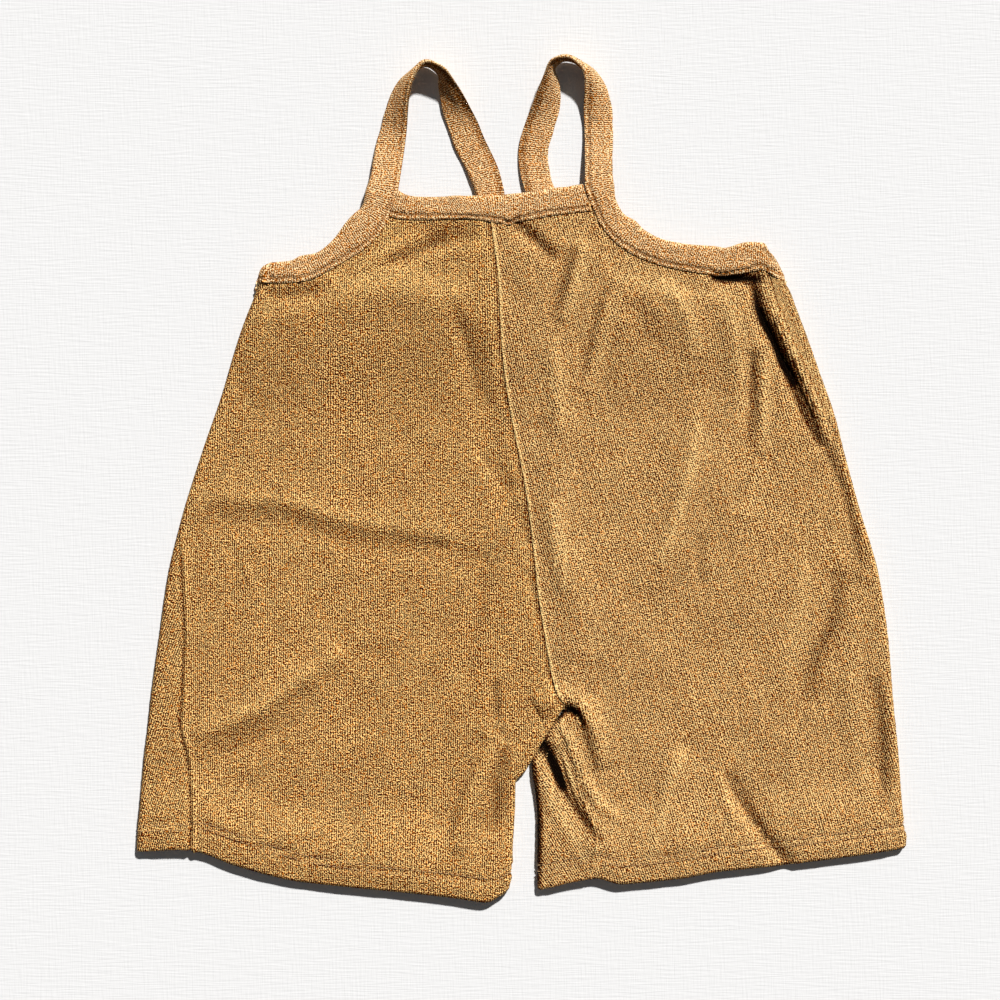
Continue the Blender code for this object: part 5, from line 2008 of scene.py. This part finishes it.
@dataclass
class ArmholeStrip(Strip):
    """Binding of the front armhole, shoulder strap and binding of the back armhole, in one strip.

    Attributes:
        half: The half that it is on.
        front: Its stations on the front.
        strap: Its stations between the bib and the back.
        back: Its stations on the back.
    """

    half: Half = LEFT
    front: Rows = FRONT_BINDING_LEFT
    strap: Rows = STRAP_LEFT
    back: Rows = BACK_BINDING_LEFT

    def underarm_rows(self, first: Sequence[float], second: Sequence[float]) -> Array:
        """Stations that carry the strip round the bend at the underarm.

        Args:
            first: Station on the bend; only its heights are read.
            second: Next station on the face.

        Returns:
            The rows between the bend and the second station.
        """
        rows = np.zeros((len(UNDERARM_STATIONS), 4))
        stations = np.array(UNDERARM_STATIONS)
        inward = self.half.side.value
        for column in (0, 2):
            outer = self.half.edge_x(first[column + 1])
            radius, _ = self.half.edge_round(outer + inward * BEND_SAMPLE, first[column + 1])
            eased = (BEND - 1.0) * radius
            reach = abs(second[column] - outer) + eased
            y = mix(first[column + 1], second[column + 1], stations / reach)
            rows[:, column] = self.half.edge_x(y) + inward * (stations - eased)
            rows[:, column + 1] = y
        return rows

    def strap_rings(self) -> Array:
        """Sections between the bib and the back, with the strip folded shut.

        Returns:
            Points, section by section.
        """
        rows = refine(self.strap, self.parts)
        fold_edge, stitched_edge = rows[:, :3], rows[:, 3:]
        both = fold_edge + stitched_edge
        ahead = np.vstack((both[1:], both[-1:])) - np.vstack((both[:1], both[:-1]))
        width = np.linalg.norm(fold_edge - stitched_edge, axis=1)
        outward = (fold_edge - stitched_edge) / width[:, None]
        normal = unit(np.cross(ahead, outward) * self.half.side.value)
        i = np.arange(len(rows)) * CURVE_PARTS / self.parts
        opening = 1.0 - smooth_step(np.minimum(i, i[-1] - i), 0.0, STRAP_OPENING_ROWS)
        place, off = self.section(width, mix(STRAP_LEAF, BOUND_LEAF, opening))
        rings = stitched_edge[:, None] + outward[:, None] * place[..., None]
        rings = rings + normal[:, None] * off[..., None]
        low = rings[..., 2].min(axis=1) - BAND_WALL / 2.0
        rings[..., 2] += np.maximum(0.0, TABLE_CLEARANCE - low)[:, None]
        return rings

    def rings(self) -> Array:
        """Sections from the underarm, over the shoulder and back to the underarm.

        Returns:
            Points, section by section.
        """
        found = []
        for face, table in ((Face.FRONT, self.front), (Face.BACK, self.back)):
            rows = np.vstack((self.underarm_rows(table[0], table[1]), refine(table[1:], self.parts)))
            rings = self.bound_rings(face, rows, self.half)
            found.append(rings if face is Face.FRONT else rings[::-1])
        return np.concatenate((found[0], self.strap_rings(), found[1]))


@dataclass
class NeckStrip(Strip):
    """Binding over a neck edge, from one strap to the other.

    Attributes:
        face: Front or back.
        table: Its stations.
    """

    face: Face = Face.FRONT
    table: Rows = NECK_FRONT

    def rings(self) -> Array:
        """Sections across both half panels."""
        return self.bound_rings(self.face, refine(self.table, self.parts), None)


@dataclass
class Stitches:
    """Rows of small thread stitches lying on the cloth.

    Attributes:
        pitch: From stitch to stitch.
        length: Length of one stitch.
        radius: Radius of the thread.
        rise: How far a stitch's middle stands up, and its two ends go down.
        thin_end: Thickness of its ends, as a share of its middle's.
        first: Distance of the first stitch from the start of its line.
    """

    name: str
    pitch: float = 3.1
    length: float = 2.3
    radius: float = 0.24
    rise: float = 0.22
    thin_end: float = 0.35
    first: float = 0.5
    rings: int = 6
    sides: int = 5

    def build(self, lines: Sequence[tuple[Array, Array]], material: Material) -> Piece:
        """Make all stitches as one piece.

        Args:
            lines: Points and normals of each line.
            material: Their finish.

        Returns:
            The new piece.
        """
        shell = Shell()
        share = np.linspace(0.0, 1.0, self.rings)
        arch = np.sin(math.pi * share)
        turn = 2.0 * math.pi * np.arange(self.sides + 1) / self.sides
        for points, normals in lines:
            passed = distances(points)
            starts = np.arange(self.first, passed[-1] - self.length, self.pitch)
            places = starts[:, None] + share[None, :] * self.length
            middle = np.stack([np.interp(places, passed, points[:, k]) for k in range(3)], -1)
            normal = unit(np.stack([np.interp(places, passed, normals[:, k]) for k in range(3)], -1))
            ahead = unit(np.gradient(middle, axis=1))
            beside = np.cross(ahead, normal)
            middle = middle + normal * (self.rise * (2.0 * arch - 1.0))[None, :, None]
            thick = (self.radius * mix(self.thin_end, 1.0, np.sqrt(arch)))[None, :, None, None]
            ring = np.cos(turn)[:, None] * beside[..., None, :] + np.sin(turn)[:, None] * normal[..., None, :]
            tube = middle[..., None, :] + thick * ring
            tube[..., 2] = np.maximum(tube[..., 2], 0.0)
            for stitch in tube[:, :, :-1]:
                numbers = shell.add_points(stitch, np.zeros(stitch.shape[:-1] + (2,)))
                shell.add_grid(np.concatenate((numbers, numbers[:, :1]), axis=1), False)
                for cap in (numbers[0, ::-1], numbers[-1]):
                    middles = np.full(self.sides - 2, cap[0])
                    shell.triangles.append(np.stack([middles, cap[1:-1], cap[2:]], -1))
        piece = shell.to_object(self.name, material)
        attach(piece, "root")
        return piece


@dataclass
class Studio:
    """The surface below, the camera and the light. Angles are in degrees.

    Attributes:
        centre: Middle of the picture on the table.
        picture: Width that the picture covers there.
        floor_drop: How far the surface lies below the garment.
        sun_rise: Height of the light above the surface.
        sun_turn: Its turn from straight above the picture to the right.
        sun_size: How wide it looks.
        sky: Strength of the soft light from all round.
    """

    centre: tuple[float, float] = (-12.1, -11.3)
    lens: float = 85.0
    sensor: float = 36.0
    picture: float = 550.0
    floor_reach: float = 1500.0
    floor_drop: float = 0.02
    sun_rise: float = 49.0
    sun_turn: float = 26.0
    sun_size: float = 3.5
    sun_strength: float = 5.15
    sun_colour: Colour = (1.0, 0.97, 0.93)
    sky: float = 0.10
    sky_colour: Colour = (0.96, 0.98, 1.0)

    def build(self, material: Material) -> None:
        """Make everything that isn't the garment.

        Args:
            material: Finish of the surface below.
        """
        mesh = bpy.data.meshes.new("table_top")
        reach = self.floor_reach * MM
        corners = [(-reach, -reach, 0.0), (reach, -reach, 0.0), (reach, reach, 0.0), (-reach, reach, 0.0)]
        mesh.from_pydata(corners, [], [(0, 1, 2, 3)])
        mesh.materials.append(material)
        table = bpy.data.objects.new("table_top", mesh)
        table.location.z = -self.floor_drop * MM
        scene = bpy.context.scene
        scene.collection.objects.link(table)
        camera = bpy.data.objects.new("camera", bpy.data.cameras.new("camera"))
        camera.data.lens = self.lens
        camera.data.sensor_width = self.sensor
        height = self.picture * self.lens / self.sensor
        camera.location = (self.centre[0] * MM, self.centre[1] * MM, height * MM)
        scene.collection.objects.link(camera)
        scene.camera = camera
        sun = bpy.data.objects.new("sun", bpy.data.lights.new("sun", "SUN"))
        sun.data.energy = self.sun_strength
        sun.data.angle = math.radians(self.sun_size)
        sun.data.color = self.sun_colour
        sun.rotation_euler = (-math.radians(90.0 - self.sun_rise), 0.0, -math.radians(self.sun_turn))
        scene.collection.objects.link(sun)
        world = bpy.data.worlds.new("room")
        world.use_nodes = True
        sky = world.node_tree.nodes["Background"]
        sky.inputs["Color"].default_value = (*self.sky_colour, 1.0)
        sky.inputs["Strength"].default_value = self.sky
        scene.world = world
        scene.view_settings.view_transform = "Standard"
        scene.view_settings.look = "None"


def main() -> None:
    """Build the romper and its surroundings."""
    logging.basicConfig(level=logging.INFO, format="%(message)s")
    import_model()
    # Valley colours are painted shade between the ribs, crest colours painted highlights on the loops.
    upright = TerryFinish(
        "terry", valley=(0.070, 0.003, 0.0), body=(0.84, 0.264, 0.018), crest=(1.0, 0.69, 0.275)
    ).make()
    slanting = TerryFinish(
        "terry_slanting", valley=(0.060, 0.003, 0.0), body=(0.94, 0.305, 0.030), crest=(1.0, 0.71, 0.31),
        loops_across=1.0, loops_along=1.5, fibre_draw=1.0, rib_share=0.28, body_shift=0.1,
    ).make()
    band = TerryFinish(
        "terry_band", valley=(0.30, 0.078, 0.002), body=(1.0, 0.395, 0.07), crest=(1.0, 0.77, 0.44),
        spread=0.085, body_shift=0.0,
    ).make()
    thread = ThreadFinish("thread", colour=(0.66, 0.40, 0.17)).make()
    cloth = SurfaceFinish("pale_surface", colour=(0.690, 0.702, 0.722)).make()
    # Each seam look's dark line is painted shade in the groove, its light line a painted highlight on the
    # ridge.
    plain = SeamLook()
    left_side = SeamLook(
        Line(-0.9, 0.0, 1.1), Line(0.9, 2.0, 1.4), Line(-0.3, 0.0, 1.1), Line(0.16, 2.0, 1.4)
    )
    sunk = SeamLook(Line(-0.4, 0.0, 1.8), Line(0.3, 4.5, 2.0), Line(-0.26, 0.0, 1.8), Line(0.1, 4.5, 2.0))
    raised = SeamLook(Line(0.0, 0.0, 0.4), Line(0.6, 0.5, 0.8), Line(0.0, 0.0, 0.4), Line(0.75, 0.5, 0.8))
    ribbed = SeamLook(groove=Line(-0.9, 0.0, 0.8), dark=Line(-0.3, 0.0, 0.8), ribs=0.3)
    panels = (
        (Panel("front_left", LEFT, Face.FRONT, rib_tilt=0.0, row_pitch=1.9, samples_per_rib=3,
               side_seam=left_side, end_seam=sunk), upright),
        (Panel("front_right", RIGHT, Face.FRONT, rib_tilt=15.6, row_pitch=1.9, samples_per_rib=3,
               side_seam=ribbed, end_seam=raised), slanting),
        (Panel("back_left", LEFT, Face.BACK, rib_tilt=5.0, row_pitch=2.6, samples_per_rib=2,
               side_seam=plain, end_seam=plain), upright),
        (Panel("back_right", RIGHT, Face.BACK, rib_tilt=25.0, row_pitch=1.6, samples_per_rib=2,
               side_seam=plain, end_seam=plain, turned_tilt=33.0), slanting),
    )
    lines = []
    for panel, finish in panels:
        panel.build(finish)
        lines += panel.hem_lines()
        LOG.info("%s done", panel.node)
    strips = (
        ArmholeStrip("binding_left", ("front_left", "back_left")),
        ArmholeStrip("binding_right", ("front_right", "back_right"), half=RIGHT,
                     front=FRONT_BINDING_RIGHT, strap=STRAP_RIGHT, back=BACK_BINDING_RIGHT),
        NeckStrip("neck_band_front", ("front_left", "front_right")),
        NeckStrip("neck_band_back", ("back_left", "back_right"), face=Face.BACK, table=NECK_BACK),
    )
    for strip in strips:
        _, points, normals = strip.build(band)
        lines.append((points, normals))
        LOG.info("%s done", strip.node)
    Stitches("stitches").build(lines, thread)
    Studio().build(cloth)


if __name__ == "__main__":
    main()
